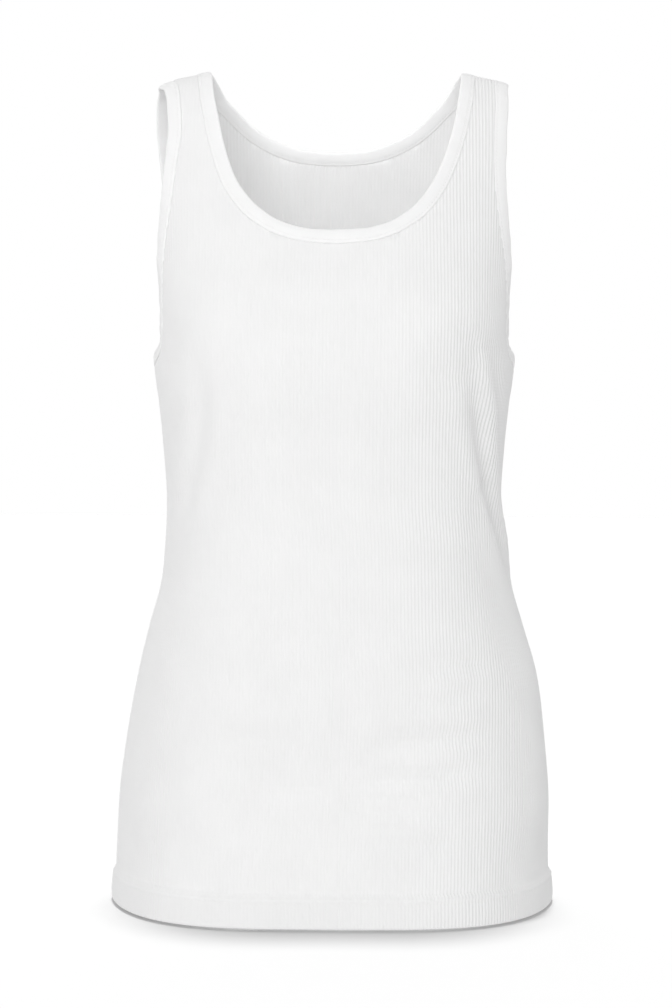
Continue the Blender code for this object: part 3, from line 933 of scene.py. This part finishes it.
@dataclass(frozen=True)
class KnitCotton:
    """Combed cotton knit, bleached white: matt, with a faint soft nap and rows of small loops.

    The loops are V-shaped: their height is a wave down the wale whose phase is later towards the
    wale's edges, so each course reads as a row of Vs. spread_mm is how far light spreads in it,
    nap_mm the size of the nap's tufts, and patch_mm that of faint paler patches in the bleach.
    """

    name: str
    colour: str
    roughness: float
    sheen: float
    wale_mm: float
    course_mm: float
    loop_depth_mm: float
    nap_depth_mm: float
    spread_mm: float
    nap_mm: float = 1000 / 900
    patch_mm: float = 1000 / 28

    def make(self) -> bpy.types.Material:
        """Build the material. The UV map is in mm: across the wales, and down them.

        With x and y in loops, and off = |fract(x) - 0.5|, the height of the loops is
        sin(2 pi (y + off)) * (1 - 8 off^3).

        Returns:
            The material.
        """
        material, tree = new_material(self.name)
        uv = add_node(tree, "UVMap", {"uv_map": "cloth"})
        split = add_node(tree, "SeparateXYZ", links={0: uv.outputs[0]})
        value = {"across": split.outputs[0], "down": split.outputs[1]}
        for result, operation, *terms in (
            ("x", "DIVIDE", "across", self.wale_mm),
            ("y", "DIVIDE", "down", self.course_mm),
            ("share", "FRACT", "x"),
            ("centred", "SUBTRACT", "share", 0.5),
            ("off", "ABSOLUTE", "centred"),
            ("phase", "ADD", "y", "off"),
            ("turn", "MULTIPLY", "phase", 2 * math.pi),
            ("wave", "SINE", "turn"),
            ("cube", "POWER", "off", 3.0),
            ("edge", "MULTIPLY", "cube", 8.0),
            ("strand", "SUBTRACT", 1.0, "edge"),
            ("loops", "MULTIPLY", "wave", "strand"),
        ):
            numbers = {k: term for k, term in enumerate(terms) if not isinstance(term, str)}
            outputs = {k: value[term] for k, term in enumerate(terms) if isinstance(term, str)}
            step = add_node(tree, "Math", {"operation": operation, **numbers}, outputs)
            value[result] = step.outputs[0]
        place = {"Vector": add_node(tree, "TexCoord").outputs["Object"]}
        fuzz = {"Scale": 1 / (self.nap_mm * MM), "Detail": 3.0, "Roughness": 0.6}
        nap = add_node(tree, "TexNoise", fuzz, place)
        broad = {"Scale": 1 / (self.patch_mm * MM), "Detail": 2.0, "Roughness": 0.5}
        patch = add_node(tree, "TexNoise", broad, place)
        patches = {"From Min": 0.35, "From Max": 0.65, "To Min": 0.985, "To Max": 1.0}
        shade = add_node(tree, "MapRange", patches, {"Value": patch.outputs[0]})
        scaled = {"operation": "SCALE", 0: linear(self.colour)[:3]}
        tint = add_node(tree, "VectorMath", scaled, {"Scale": shade.outputs[0]})
        loop_deep = {"Strength": 0.5, "Distance": self.loop_depth_mm * MM}
        loop_bump = add_node(tree, "Bump", loop_deep, {"Height": value["loops"]})
        nap_deep = {"Strength": 0.5, "Distance": self.nap_depth_mm * MM}
        heights = {"Height": nap.outputs[0], "Normal": loop_bump.outputs[0]}
        nap_bump = add_node(tree, "Bump", nap_deep, heights)
        settings = {
            "Roughness": self.roughness,
            "Specular IOR Level": 0.25,
            "Subsurface Weight": 1.0,
            "Subsurface Radius": (1.0, 1.0, 1.0),
            "Subsurface Scale": self.spread_mm * MM,
            "Sheen Weight": self.sheen,
            "Sheen Roughness": 0.6,
        }
        links = {"Base Color": tint.outputs[0], "Normal": nap_bump.outputs[0]}
        shader = add_node(tree, "BsdfPrincipled", settings, links)
        add_node(tree, "OutputMaterial", links={0: shader.outputs[0]})
        return material


# Rib knit in fine cotton. Real loops are 1.3 mm by 0.9 mm, two to a rib, which is too fine to show
# from a step away, so they are drawn one V to a rib, 2.7 mm by 2.6 mm, and give the cloth a faint
# grain; the ribs themselves are in the mesh.
RIB_KNIT = KnitCotton("combed_cotton_rib_knit", "#EEEEEE", 0.92, 0.12, 2.7, 2.6, 0.03, 0.015, 1.0)
# The binding is the same yarn, knitted plain and folded, so it is smoother and a little brighter.
BINDING_KNIT = KnitCotton("folded_cotton_binding", "#FCFCFC", 0.9, 0.1, 0.9, 0.8, 0.05, 0.02, 0.4)


@dataclass(frozen=True)
class SpunThread:
    """Spun polyester sewing thread: two plies twisted, white, with a weak gloss along it."""

    name: str = "spun_polyester_thread"
    colour: str = "#F8F8F8"
    roughness: float = 0.6
    twist_mm: float = 0.7
    twist_deep_mm: float = 0.05

    def make(self) -> bpy.types.Material:
        """Build the material. The twist runs along each stitch's own UV map, in mm.

        Returns:
            The material.
        """
        material, tree = new_material(self.name)
        uv = add_node(tree, "UVMap", {"uv_map": "cloth"})
        twist = {"Scale": 1 / (self.twist_mm * math.pi), "bands_direction": "DIAGONAL"}
        wave = add_node(tree, "TexWave", twist, {"Vector": uv.outputs[0]})
        deep = {"Strength": 0.5, "Distance": self.twist_deep_mm * MM}
        bump = add_node(tree, "Bump", deep, {"Height": wave.outputs["Fac"]})
        settings = {"Base Color": linear(self.colour), "Roughness": self.roughness}
        shader = add_node(tree, "BsdfPrincipled", settings, {"Normal": bump.outputs[0]})
        add_node(tree, "OutputMaterial", links={0: shader.outputs[0]})
        return material


@dataclass(frozen=True)
class PaperSweep:
    """Matt pale backdrop paper."""

    name: str = "pale_paper_sweep"
    colour: str = "#D6D6D6"

    def make(self) -> bpy.types.Material:
        """Build the material: flat and matt, because the light on it takes it up to white.

        Returns:
            The material.
        """
        material, tree = new_material(self.name)
        matt = {"Base Color": linear(self.colour), "Roughness": 1.0, "Specular IOR Level": 0.0}
        shader = add_node(tree, "BsdfPrincipled", matt)
        add_node(tree, "OutputMaterial", links={0: shader.outputs[0]})
        return material


# ---- Pieces of the garment ----


# Share of the full rib height that the ribs have, against length of cloth from the centre line
FLATNESS = {
    Face.FRONT: ((-230.0, 0.5), (-150.0, 0.6), (-115.0, 0.3), (-20.0, 0.3), (40.0, 0.4), (80.0, 0.75),
                 (110.0, 1.0), (165.0, 1.0), (195.0, 0.5), (230.0, 0.5)),
    Face.BACK: ((-230.0, 0.5), (-60.0, 0.65), (40.0, 0.55), (230.0, 0.5)),
}


# A rib's outline: share of its height against share of its pitch, on the four steps of the grid
RIB_OUTLINE = ((0.0, 0.0), (0.25, 0.8), (0.5, 1.0), (0.75, 0.8), (1.0, 0.0))


# Rows of the panels' grids: drops below the ridge, distances up from the hem's edge, and between
# them spans of even rows as first drop, last drop, rows. The front's are closest across its slack
# folds.
RIDGE_ROWS = (0.0, 0.8, 3.0, 7.0, 12.0, 18.0, 25.0, 33.0)
HEM_ROWS = (30.0, 27.0, 25.0, 23.5, 22.2, 21.2, 20.4, 19.6, 18.6, 17.0, 13.0, 8.0, 3.5, 1.6, 1.1, 0.55,
            0.2, 0.0)
ROW_SPANS = {
    Face.FRONT: ((42.0, 240.0, 15), (240.0, 460.0, 20), (460.0, 606.0, 25), (606.0, LENGTH - 30, 2)),
    Face.BACK: ((42.0, 240.0, 18), (240.0, 460.0, 23), (460.0, LENGTH - 30, 20)),
}


@dataclass
class Panel:
    """Front or back panel: a thin ribbed wall, trimmed at neck and armholes, with its hem.

    Its wales run straight down, one rib every pitch from the centre line, so the side seams cut
    them off. Ribs lie flatter where the cloth is pulled tight, by the shares in FLATNESS.
    """

    face: Face
    form: Form
    openings: list[Seam]
    pitch: float = 2.7
    steps: int = 4
    rib_height: float = 0.75
    wall: float = 1.3
    hem_wall: float = 2.6
    tuck: float = 4.0
    seam_gap: float = 0.3
    seam_ease: float = 2.4
    press_ease: float = 2.5
    hem_rise: float = 0.85
    hem_flare: float = 0.9
    groove: float = 0.4
    groove_half: float = 1.1
    stitch_drop: float = LENGTH - HEM_DEPTH + 2.6
    stitch_sunk: float = 0.32
    grain_part: float = 0.62

    @property
    def name(self) -> str:
        """The piece's name."""
        return self.face.name.lower() + "_panel_knit"

    def drops(self) -> np.ndarray:
        """Rows: close over the ridge, at the hem's stitching and its edge, and by ROW_SPANS between."""
        spans = [np.linspace(*span, endpoint=False) for span in ROW_SPANS[self.face]]
        return np.concatenate([RIDGE_ROWS, *spans, LENGTH - np.array(HEM_ROWS)])

    def opening_gap(self, part: np.ndarray, root: np.ndarray, point: np.ndarray) -> np.ndarray:
        """Distance to the nearest seam round an opening, negative inside the opening.

        Args:
            part: Part of each point.
            root: Root of each point.
            point: The points themselves.

        Returns:
            Signed distances.
        """
        gap = np.full(len(part), np.inf)
        for seam in self.openings:
            within = np.zeros(len(part), bool)
            for (face, hand), (roots, edge) in seam.edge.items():
                if face is self.face:
                    own = (root < roots[-1]) & (part * hand.value >= 0)
                    past = np.abs(part) - np.interp(root, roots, edge)
                    within |= own & ((past < 0) if seam.opening is Opening.NECK else (past > 0))
            distance = seam.gap_from(point)
            gap = np.minimum(gap, np.where(within, -distance, distance))
        return gap

    def heights(
        self, cut: Trimmed, half: np.ndarray, gap: np.ndarray
    ) -> tuple[np.ndarray, np.ndarray, np.ndarray]:
        """Distances of the outer and inner face from the form, and the dip of the creases.

        A rib is high over three of its four steps and low in the groove between ribs. The wall
        keeps its thickness, so the inner face has the same ribs the other way round. Inside a
        binding and at a seam the wall is pressed together, and the hem's fold is half round.

        Args:
            cut: The trimmed grid.
            half: Length of cloth from the centre line to the side seam, at each of its points.
            gap: Distance of each of its points from the seam round the nearest opening.

        Returns:
            Outer height, inner height and dip.
        """
        drop, across = cut.root**2, cut.across
        rib = np.mod(across / self.pitch, 1.0)
        swell = np.interp(rib, *np.array(RIB_OUTLINE).T)
        tall = self.rib_height * smooth_read(across, *np.array(FLATNESS[self.face]).T)
        tall = tall * (1 + 0.06 * np.sin(across / 23 + drop / 61) * np.sin(drop / 37 + across / 71))
        outer = tall * swell
        inner = -self.wall - 0.6 * tall * (1 - swell)
        hem = smooth_step((drop - (LENGTH - HEM_DEPTH - 0.4)) / 1.6)
        inner = inner - (self.hem_wall - self.wall) * hem
        outer = outer + self.hem_rise * hem * smooth_step((LENGTH - drop) / 6)
        outer = outer + self.hem_flare * smooth_step((drop - LENGTH + HEM_DEPTH) / HEM_DEPTH)
        outer = outer - self.groove * np.exp(-(((drop - self.stitch_drop) / self.groove_half) ** 2))
        middle = (outer + inner) / 2
        press = 0.5 + 0.5 * smooth_step((gap + self.press_ease) / self.press_ease)
        side = smooth_step((half - np.abs(across) + 0.2) / self.seam_ease)
        ridge = smooth_step((np.sqrt(drop) * 5 + 0.6) / 4)
        press = press * (0.45 + 0.55 * side) * (0.6 + 0.4 * ridge)
        left = np.clip((LENGTH - drop) / (self.hem_wall / 2), 0, 1)
        press = press * np.sqrt(np.maximum(1 - (1 - left) ** 2, 0.0025))
        outer, inner = middle + (outer - middle) * press, middle + (inner - middle) * press
        dip = self.seam_gap * (1 - side)
        for crease in CREASES[self.face]:
            dip = dip + crease.dip(across, drop)
        dip = dip * smooth_step((LENGTH - HEM_DEPTH - 2 - drop) / 34)
        return outer, inner, dip * smooth_step((half - np.abs(across)) / 8)

    def build(self) -> bpy.types.Object:
        """Make the wall: the trimmed grid twice, its outer and inner face, joined round the rim.

        Returns:
            The panel's object.
        """
        roots = np.sqrt(self.drops())
        lengths = self.form.half_length(self.face, roots)
        edge = math.ceil(lengths.max() / self.pitch) * self.steps
        columns = np.arange(-edge, edge + 1) / self.steps * self.pitch
        part = np.clip(columns[None] / lengths[:, None], -1.0, 1.0).ravel()
        root = np.repeat(roots, len(columns))
        gap = self.opening_gap(part, root, self.form.place(self.face, part, root))
        room = lengths[:, None] - np.abs(columns[None])
        cut = trim_grid(columns, roots, np.minimum((gap + self.tuck).reshape(room.shape), room))
        half = self.form.half_length(self.face, cut.root)
        part = np.clip(cut.across / half, -1.0, 1.0)
        point, normal = self.form.surface(self.face, part, cut.root)
        gap = self.opening_gap(part, cut.root, point)
        outer, inner, dip = self.heights(cut, half, gap)
        walls = []
        for height in (outer, inner):
            wall = point + normal * (height - dip)[:, None]
            sign = self.face.value
            wall[:, 1] = sign * np.maximum(sign * wall[:, 1], self.seam_gap / 2)
            walls.append(wall)
        count = len(part)
        outside = faces_outwards(point, cut.blocks[-1], normal)
        blocks = []
        for block in cut.blocks:
            blocks.append(block if outside else block[:, ::-1])
            blocks.append((block[:, ::-1] if outside else block) + count)
        first, second = cut.rim().T
        rim = np.stack([second, first, first + count, second + count], axis=-1)
        blocks.append(rim if outside else rim[:, ::-1])
        down = self.cloth_run(cut.root)
        uv = np.stack([cut.across, down], axis=-1)
        return add_mesh(self.name, np.vstack(walls), blocks, np.vstack([uv, uv]))

    def cloth_run(self, root: np.ndarray) -> np.ndarray:
        """Length of cloth down from the ridge, along a wale that runs through the strap.

        Args:
            root: Root of each point.

        Returns:
            Length at each.
        """
        fine = np.linspace(0.0, self.form.top_root, 400)
        run = run_length(self.form.place(self.face, np.full_like(fine, self.grain_part), fine))
        return np.interp(root, fine, run)

    def hem_line(self) -> tuple[np.ndarray, np.ndarray]:
        """The line of the hem's stitching, at the bottom of its groove.

        Returns:
            Points and normals along it.
        """
        part = np.linspace(-0.997, 0.997, 1400)
        root = np.full_like(part, math.sqrt(self.stitch_drop))
        point, normal = self.form.surface(self.face, part, root)
        return point - normal * self.stitch_sunk, normal


# A binding's outer wall: distance from the seam, and how far it lies under the full thickness
BINDING_WALL = (
    (-0.6, 1.46), (-0.5, 1.1), (-0.05, 0.6), (0.5, 0.25), (1.3, 0.14), (2.35, 0.36), (3.1, 0.1),
    (4.4, -0.02), (6.2, -0.04), (7.8, 0.0),
)


@dataclass
class Binding:
    """A strip of knit folded over a raw edge: two walls and the fold, carried once round a seam.

    Its outline is a U whose walls hold the panel's edge. distance is measured into the opening
    from the seam, height out of the middle of the cloth.
    """

    name: str
    seam: Seam
    width: float = 11.2
    thick: float = 3.0
    wall: float = 0.95
    wall_middle: float = -0.425
    fold_reach: float = 2.5
    fold_share: float = 0.92
    stitch_in: float = 2.35
    stitch_sunk: float = 0.3

    def outline(self) -> np.ndarray:
        """The U's outline as (distance, height), counter-clockwise, from the outer raw edge.

        The fold is a half ellipse. The outer wall is pressed in by its stitching, 2.3 mm from the
        raw edge, and fuller between there and the fold.

        Returns:
            The outline's points.
        """
        half = self.thick / 2
        turn = np.linspace(math.pi / 2, -math.pi / 2, 13)
        reach, end, room = self.fold_reach, self.width - self.fold_reach, half - self.wall
        fold = np.stack([end + reach * np.cos(turn), half * self.fold_share * np.sin(turn)], -1)
        wall = np.array(BINDING_WALL) * (1, -1) + (0, half)
        slot = np.array([
            [0.5, -room], [end - 0.7, -room * 0.8], [end + 0.1, 0.0], [end - 0.7, room * 0.8],
            [0.5, room],
        ])
        return np.vstack([wall, fold, wall[::-1] * (1, -1), slot])

    def build(self) -> bpy.types.Object:
        """Carry the outline round the seam, with small uneven ripples where the strip is eased.

        Returns:
            The binding's object.
        """
        seam = self.seam
        outline = self.outline()
        run = seam.run
        total = run[-1] + np.linalg.norm(seam.point[0] - seam.point[-1])
        turn = run / total * 2 * math.pi
        ripple = 0.16 * np.sin(turn * 23 + 1.1) + 0.12 * np.sin(turn * 41 + 2.3 * np.sin(turn * 5))
        ripple = ripple + 0.1 * np.sin(turn * 11 + 0.4)
        widen = 1 + 0.012 * np.sin(turn * 9 + 0.7) + 0.008 * np.sin(turn * 17)
        middle = seam.point + seam.normal * self.wall_middle
        across = outline[None, :, 0] * widen[:, None]
        lift = outline[None, :, 1] + ripple[:, None] * smooth_step((outline[None, :, 0] - 2.0) / 5.0)
        rings = middle[:, None] + seam.inward[:, None] * across[..., None]
        rings = rings + seam.normal[:, None] * lift[..., None]
        points = rings.reshape(-1, 3)
        faces, uv = tube_faces(np.append(run, total), run_length(np.vstack([outline, outline[:1]])))
        centre = np.repeat(middle + seam.inward * self.width / 2, len(outline), axis=0)
        if not faces_outwards(points, faces, points - centre):
            faces, uv = faces[:, ::-1], uv[:, ::-1]
        return add_mesh(self.name, points, [faces], uv.reshape(-1, 2))

    def stitch_line(self, wall: Wall) -> tuple[np.ndarray, np.ndarray]:
        """The line of the stitching on one wall.

        Args:
            wall: The wall.

        Returns:
            Points and normals along it.
        """
        seam = self.seam
        middle = seam.point + seam.normal * self.wall_middle
        normal = seam.normal * wall.value
        line = middle + seam.inward * self.stitch_in + normal * (self.thick / 2 - self.stitch_sunk)
        return np.vstack([line, line[:1]]), np.vstack([normal, normal[:1]])


@dataclass
class StitchRow:
    """Straight machine stitches along lines: beads of thread that dip at both ends.

    profile gives the girth of a stitch against the share of its length.
    """

    name: str
    lines: list[tuple[np.ndarray, np.ndarray]]
    pitch: float = 3.1
    gap: float = 0.55
    half_wide: float = 0.26
    half_high: float = 0.2
    dip: float = 0.3
    nudge: float = 0.1
    sides: int = 6
    profile: tuple[tuple[float, float], ...] = (
        (0.0, 0.25), (0.12, 0.85), (0.35, 1.0), (0.65, 1.0), (0.88, 0.85), (1.0, 0.25),
    )

    def beads(self, point: np.ndarray, normal: np.ndarray) -> tuple[np.ndarray, np.ndarray]:
        """The stitches of one line.

        Args:
            point: Points along the line.
            normal: The cloth's direction at each.

        Returns:
            Points by stitch, ring and side, and the UVs of each, one a row.
        """
        share, girth = np.array(self.profile).T
        run = run_length(point)
        count = int(run[-1] // self.pitch)
        start = (np.arange(count) + 0.5) * (run[-1] / count) - self.pitch / 2 + self.gap / 2
        at = start[:, None] + share[None] * (self.pitch - self.gap)
        out = unit(read_rows(at, run, normal))
        ahead = read_rows(at + self.nudge, run, point) - read_rows(at - self.nudge, run, point)
        beside = unit(np.cross(unit(ahead), out))
        dip = self.dip * (2 * share - 1) ** 4
        here = read_rows(at, run, point) - out * dip[None, :, None]
        angle = np.arange(self.sides) / self.sides * 2 * math.pi
        wide = (np.cos(angle) * self.half_wide)[None, None, :, None] * girth[None, :, None, None]
        high = (np.sin(angle) * self.half_high)[None, None, :, None] * girth[None, :, None, None]
        ring = here[:, :, None] + beside[:, :, None] * wide + out[:, :, None] * high
        length = np.broadcast_to(at[:, :, None], ring.shape[:3]).ravel()
        around = np.broadcast_to(angle * self.half_wide, ring.shape[:3]).ravel()
        return ring, np.stack([around, length], axis=-1)

    def build(self) -> bpy.types.Object:
        """Make the stitches: each is an ellipse carried along, narrower and lower at its ends.

        Returns:
            The stitching's object.
        """
        made = [self.beads(point, normal) for point, normal in self.lines]
        beads = np.concatenate([ring for ring, _ in made])
        count, rings, sides = beads.shape[:3]
        ring, side = np.meshgrid(np.arange(rings - 1), np.arange(sides), indexing="ij")
        low, high, following = ring * sides, (ring + 1) * sides, (side + 1) % sides
        one = np.stack([low + side, low + following, high + following, high + side], axis=-1)
        base = np.arange(count)[:, None, None] * rings * sides
        quads = (one.reshape(1, -1, 4) + base).reshape(-1, 4)
        cap = np.arange(sides)
        caps = np.stack([cap[::-1], cap + (rings - 1) * sides])
        caps = (caps[None] + base).reshape(-1, sides)
        points = beads.reshape(-1, 3)
        centre = np.repeat(beads.mean(axis=2).reshape(-1, 3), sides, axis=0)
        if not faces_outwards(points, quads, points - centre):
            quads, caps = quads[:, ::-1], caps[:, ::-1]
        return add_mesh(self.name, points, [quads, caps], np.vstack([uv for _, uv in made]))


# ---- The whole garment ----


@dataclass
class TankTop:
    """The garment: two panels, three bindings and their stitching.

    cut gives each panel's cloth laid flat, seams and hem turning included: metres wide at the hem,
    metres long through the strap, and square metres; it is not used. strip_wide is a binding's width
    laid flat; it is not used.
    """

    form: Form = field(default_factory=Form)
    strip_wide: float = 0.0245
    cut: dict[Face, tuple[float, float, float]] = field(
        default_factory=lambda: {Face.FRONT: (0.50, 0.725, 0.240), Face.BACK: (0.49, 0.73, 0.249)}
    )

    def build(self) -> None:
        """Make every piece, dress it, hang it on the root and hide the solid that it stands for, if
        any.
        """
        cutter = SeamCutter(self.form)
        neck = cutter.neck()
        armhole = {hand: cutter.armhole(hand) for hand in Hand}
        rib_knit, binding_knit, thread = RIB_KNIT.make(), BINDING_KNIT.make(), SpunThread().make()

        bindings = {
            "neck_band": neck,
            "armhole_band_left": armhole[Hand.PLUS_X],
            "armhole_band_right": armhole[Hand.MINUS_X],
        }
        for node, seam in bindings.items():
            binding = Binding(node + "_knit", seam)
            piece = binding.build()
            self.dress(piece, binding_knit, node)
            sewn = StitchRow(node + "_stitches", [binding.stitch_line(wall) for wall in Wall])
            stitches = self.dress(sewn.build(), thread)

        for face in Face:
            panel = Panel(face, self.form, [neck, *armhole.values()])
            node = face.name.lower() + "_panel"
            piece = self.dress(panel.build(), rib_knit, node)
            stitches = self.dress(
                StitchRow(node + "_hem_stitches", [panel.hem_line()]).build(), thread
            )

    def dress(
        self, piece: bpy.types.Object, material: bpy.types.Material, node: str | None = None
    ) -> bpy.types.Object:
        """Give a piece its finish and its place in the model.

        Args:
            piece: The mesh object.
            material: Its finish.
            node: The solid that it stands for, if any.

        Returns:
            The piece.
        """
        piece.data.materials.append(material)
        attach(piece, "root")
        if node:
            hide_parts(node)
        log.info("%s: %d faces", piece.name, len(piece.data.polygons))
        return piece


# ---- Studio ----


def add_light(
    name: str, kind: str, settings: dict, place: tuple, turn: tuple, floor: bpy.types.Object, lit: Lit
) -> bpy.types.Object:
    """Add a light that lights the floor alone, or all but the floor.

    Args:
        name: Its name.
        kind: Its type in Blender.
        settings: Its properties.
        place: Where it stands.
        turn: Its rotation.
        floor: The studio's floor.
        lit: What it falls on.

    Returns:
        The light's object.
    """
    lamp = bpy.data.lights.new(name, kind)
    for key, value in settings.items():
        setattr(lamp, key, value)
    item = bpy.data.objects.new(name, lamp)
    item.location, item.rotation_euler = place, turn
    bpy.context.scene.collection.objects.link(item)
    linked = bpy.data.collections.new("linked_to_" + name)
    linked.objects.link(floor)
    linked.collection_objects[0].light_linking.link_state = lit.value
    item.light_linking.receiver_collection = linked
    return item


@dataclass(frozen=True)
class SoftBox:
    """A square area light that faces its aim, kept off the floor. Metres and watts.

    azimuth is measured from the front, positive towards +X, and both angles are in degrees.
    """

    name: str
    azimuth: float
    elevation: float
    distance: float
    size: float
    power: float
    aim: tuple[float, float, float] = (0.0, 0.0, -0.33)

    def build(self, floor: bpy.types.Object) -> None:
        """Add the light, unseen by the camera.

        Args:
            floor: The studio's floor.
        """
        turn, lift = math.radians(self.azimuth), math.radians(self.elevation)
        flat, tall = self.distance * math.cos(lift), self.distance * math.sin(lift)
        away = np.array([flat * math.sin(turn), -flat * math.cos(turn), tall])
        settings = {"shape": "SQUARE", "size": self.size, "energy": self.power}
        face = (math.atan2(flat, tall), 0.0, math.atan2(away[0], -away[1]))
        place = tuple(away + self.aim)
        lamp = add_light(self.name, "AREA", settings, place, face, floor, Lit.ALL_BUT_FLOOR)
        lamp.visible_camera = False


@dataclass(frozen=True)
class FloorSun:
    """A high sun that lights the sweep alone, with the garment's shadow in it.

    It stands as far behind the vertical as its disc is wide, so the shadow is full at the hem and
    has faded out where the disc clears the shoulders.
    """

    name: str = "high_sun"
    tilt: float = math.radians(4.7)
    disc: float = math.radians(9.4)
    strength: float = 2.5
    place: tuple[float, float, float] = (0.0, 0.3, 3.0)

    def build(self, floor: bpy.types.Object) -> None:
        """Add the sun and let it light the floor alone.

        Args:
            floor: The studio's floor.
        """
        settings = {"angle": self.disc, "energy": self.strength}
        turn = (-self.tilt, 0.0, 0.0)
        add_light(self.name, "SUN", settings, self.place, turn, floor, Lit.FLOOR_ALONE)


@dataclass
class Studio:
    """White sweep, soft light and the camera. Metres."""

    floor_drop: float = 0.0015
    floor_half: float = 60.0
    camera_place: tuple[float, float, float] = (0.002, -1.5, -0.3426)
    camera_roll: float = math.radians(0.30)
    sensor_mm: float = 36.0
    lens_mm: float = 66.96
    ambient: float = 0.37
    glows: tuple[tuple[str, float, float], ...] = (
        ("Y", 1.0, 0.9), ("Y", -1.0, 0.52), ("Z", -1.0, 0.18), ("X", -1.0, 0.09), ("X", 1.0, 0.09),
    )
    lights: tuple[SoftBox, ...] = (
        SoftBox("front_soft_box", -14.0, 19.0, 3.0, 1.4, 28.2),
        SoftBox("neck_fill", 0.0, 22.0, 0.12, 0.12, 0.03, (0.0, 0.07, -0.052)),
    )
    sun: FloorSun = FloorSun()

    def build(self, floor_level: float) -> None:
        """Make the floor just under the hem, the lights, the white surround and the camera.

        Args:
            floor_level: Height of the hem, in metres.
        """
        half = self.floor_half / MM
        level = (floor_level - self.floor_drop) / MM
        around = ((-half, -half), (half, -half), (half, half), (-half, half))
        corners = np.array([(x, y, level) for x, y in around])
        floor = add_mesh("studio_floor", corners, [np.array([[0, 1, 2, 3]])])
        floor.data.materials.append(PaperSweep().make())
        floor.visible_diffuse = False
        floor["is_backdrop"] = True
        for light in self.lights:
            light.build(floor)
        self.sun.build(floor)
        self.surround()
        self.camera()

    def surround(self) -> None:
        """White all round, as bright as paper where it is looked at. As a light it is a dim room with
        a lit backdrop behind, a pale wall in front and at each side, and a lit sweep below:
        strength = ambient + the sum over glows of amount * max(sign * axis of the direction, 0).
        """
        world = bpy.data.worlds.new("white_surround")
        bpy.context.scene.world = world
        world.use_nodes = True
        tree = world.node_tree
        tree.nodes.clear()
        seen = add_node(tree, "LightPath").outputs["Is Camera Ray"]
        way = add_node(tree, "TexCoord").outputs["Generated"]
        parts = add_node(tree, "SeparateXYZ", links={0: way})
        light = add_node(tree, "Value").outputs[0]
        light.default_value = self.ambient
        for axis, sign, amount in self.glows:
            turn = {"operation": "MULTIPLY", 1: sign}
            turned = add_node(tree, "Math", turn, {0: parts.outputs[axis]})
            kept = add_node(tree, "Math", {"operation": "MAXIMUM", 1: 0.0}, {0: turned.outputs[0]})
            grow = {"operation": "MULTIPLY_ADD", 1: amount}
            light = add_node(tree, "Math", grow, {0: kept.outputs[0], 2: light}).outputs[0]
        strength = add_node(tree, "MapRange", {"To Max": 1.0}, {"Value": seen, "To Min": light})
        white = add_node(tree, "Background", {"Color": (1.0,) * 4}, {"Strength": strength.outputs[0]})
        add_node(tree, "OutputWorld", links={0: white.outputs[0]})

    def camera(self) -> None:
        """Level camera at the garment's middle, 1.5 m in front, turned a third of a degree."""
        lens = bpy.data.cameras.new("camera")
        lens.sensor_fit, lens.sensor_height = "VERTICAL", self.sensor_mm
        lens.lens = self.lens_mm
        lens.clip_end = 50.0
        item = bpy.data.objects.new("camera", lens)
        item.location = self.camera_place
        item.rotation_euler = (math.pi / 2, -self.camera_roll, 0.0)
        bpy.context.scene.collection.objects.link(item)
        bpy.context.scene.camera = item


def main() -> None:
    """Dress the model and set up the studio."""
    logging.basicConfig(level=logging.INFO, format="%(name)s %(message)s")
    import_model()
    packed = [list(map(float, corner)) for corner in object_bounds()]
    TankTop().build()
    Studio().build(packed[0][2])
    scene = bpy.context.scene
    scene.view_settings.view_transform = "Standard"
    scene.view_settings.look = "None"


if __name__ == "__main__":
    main()
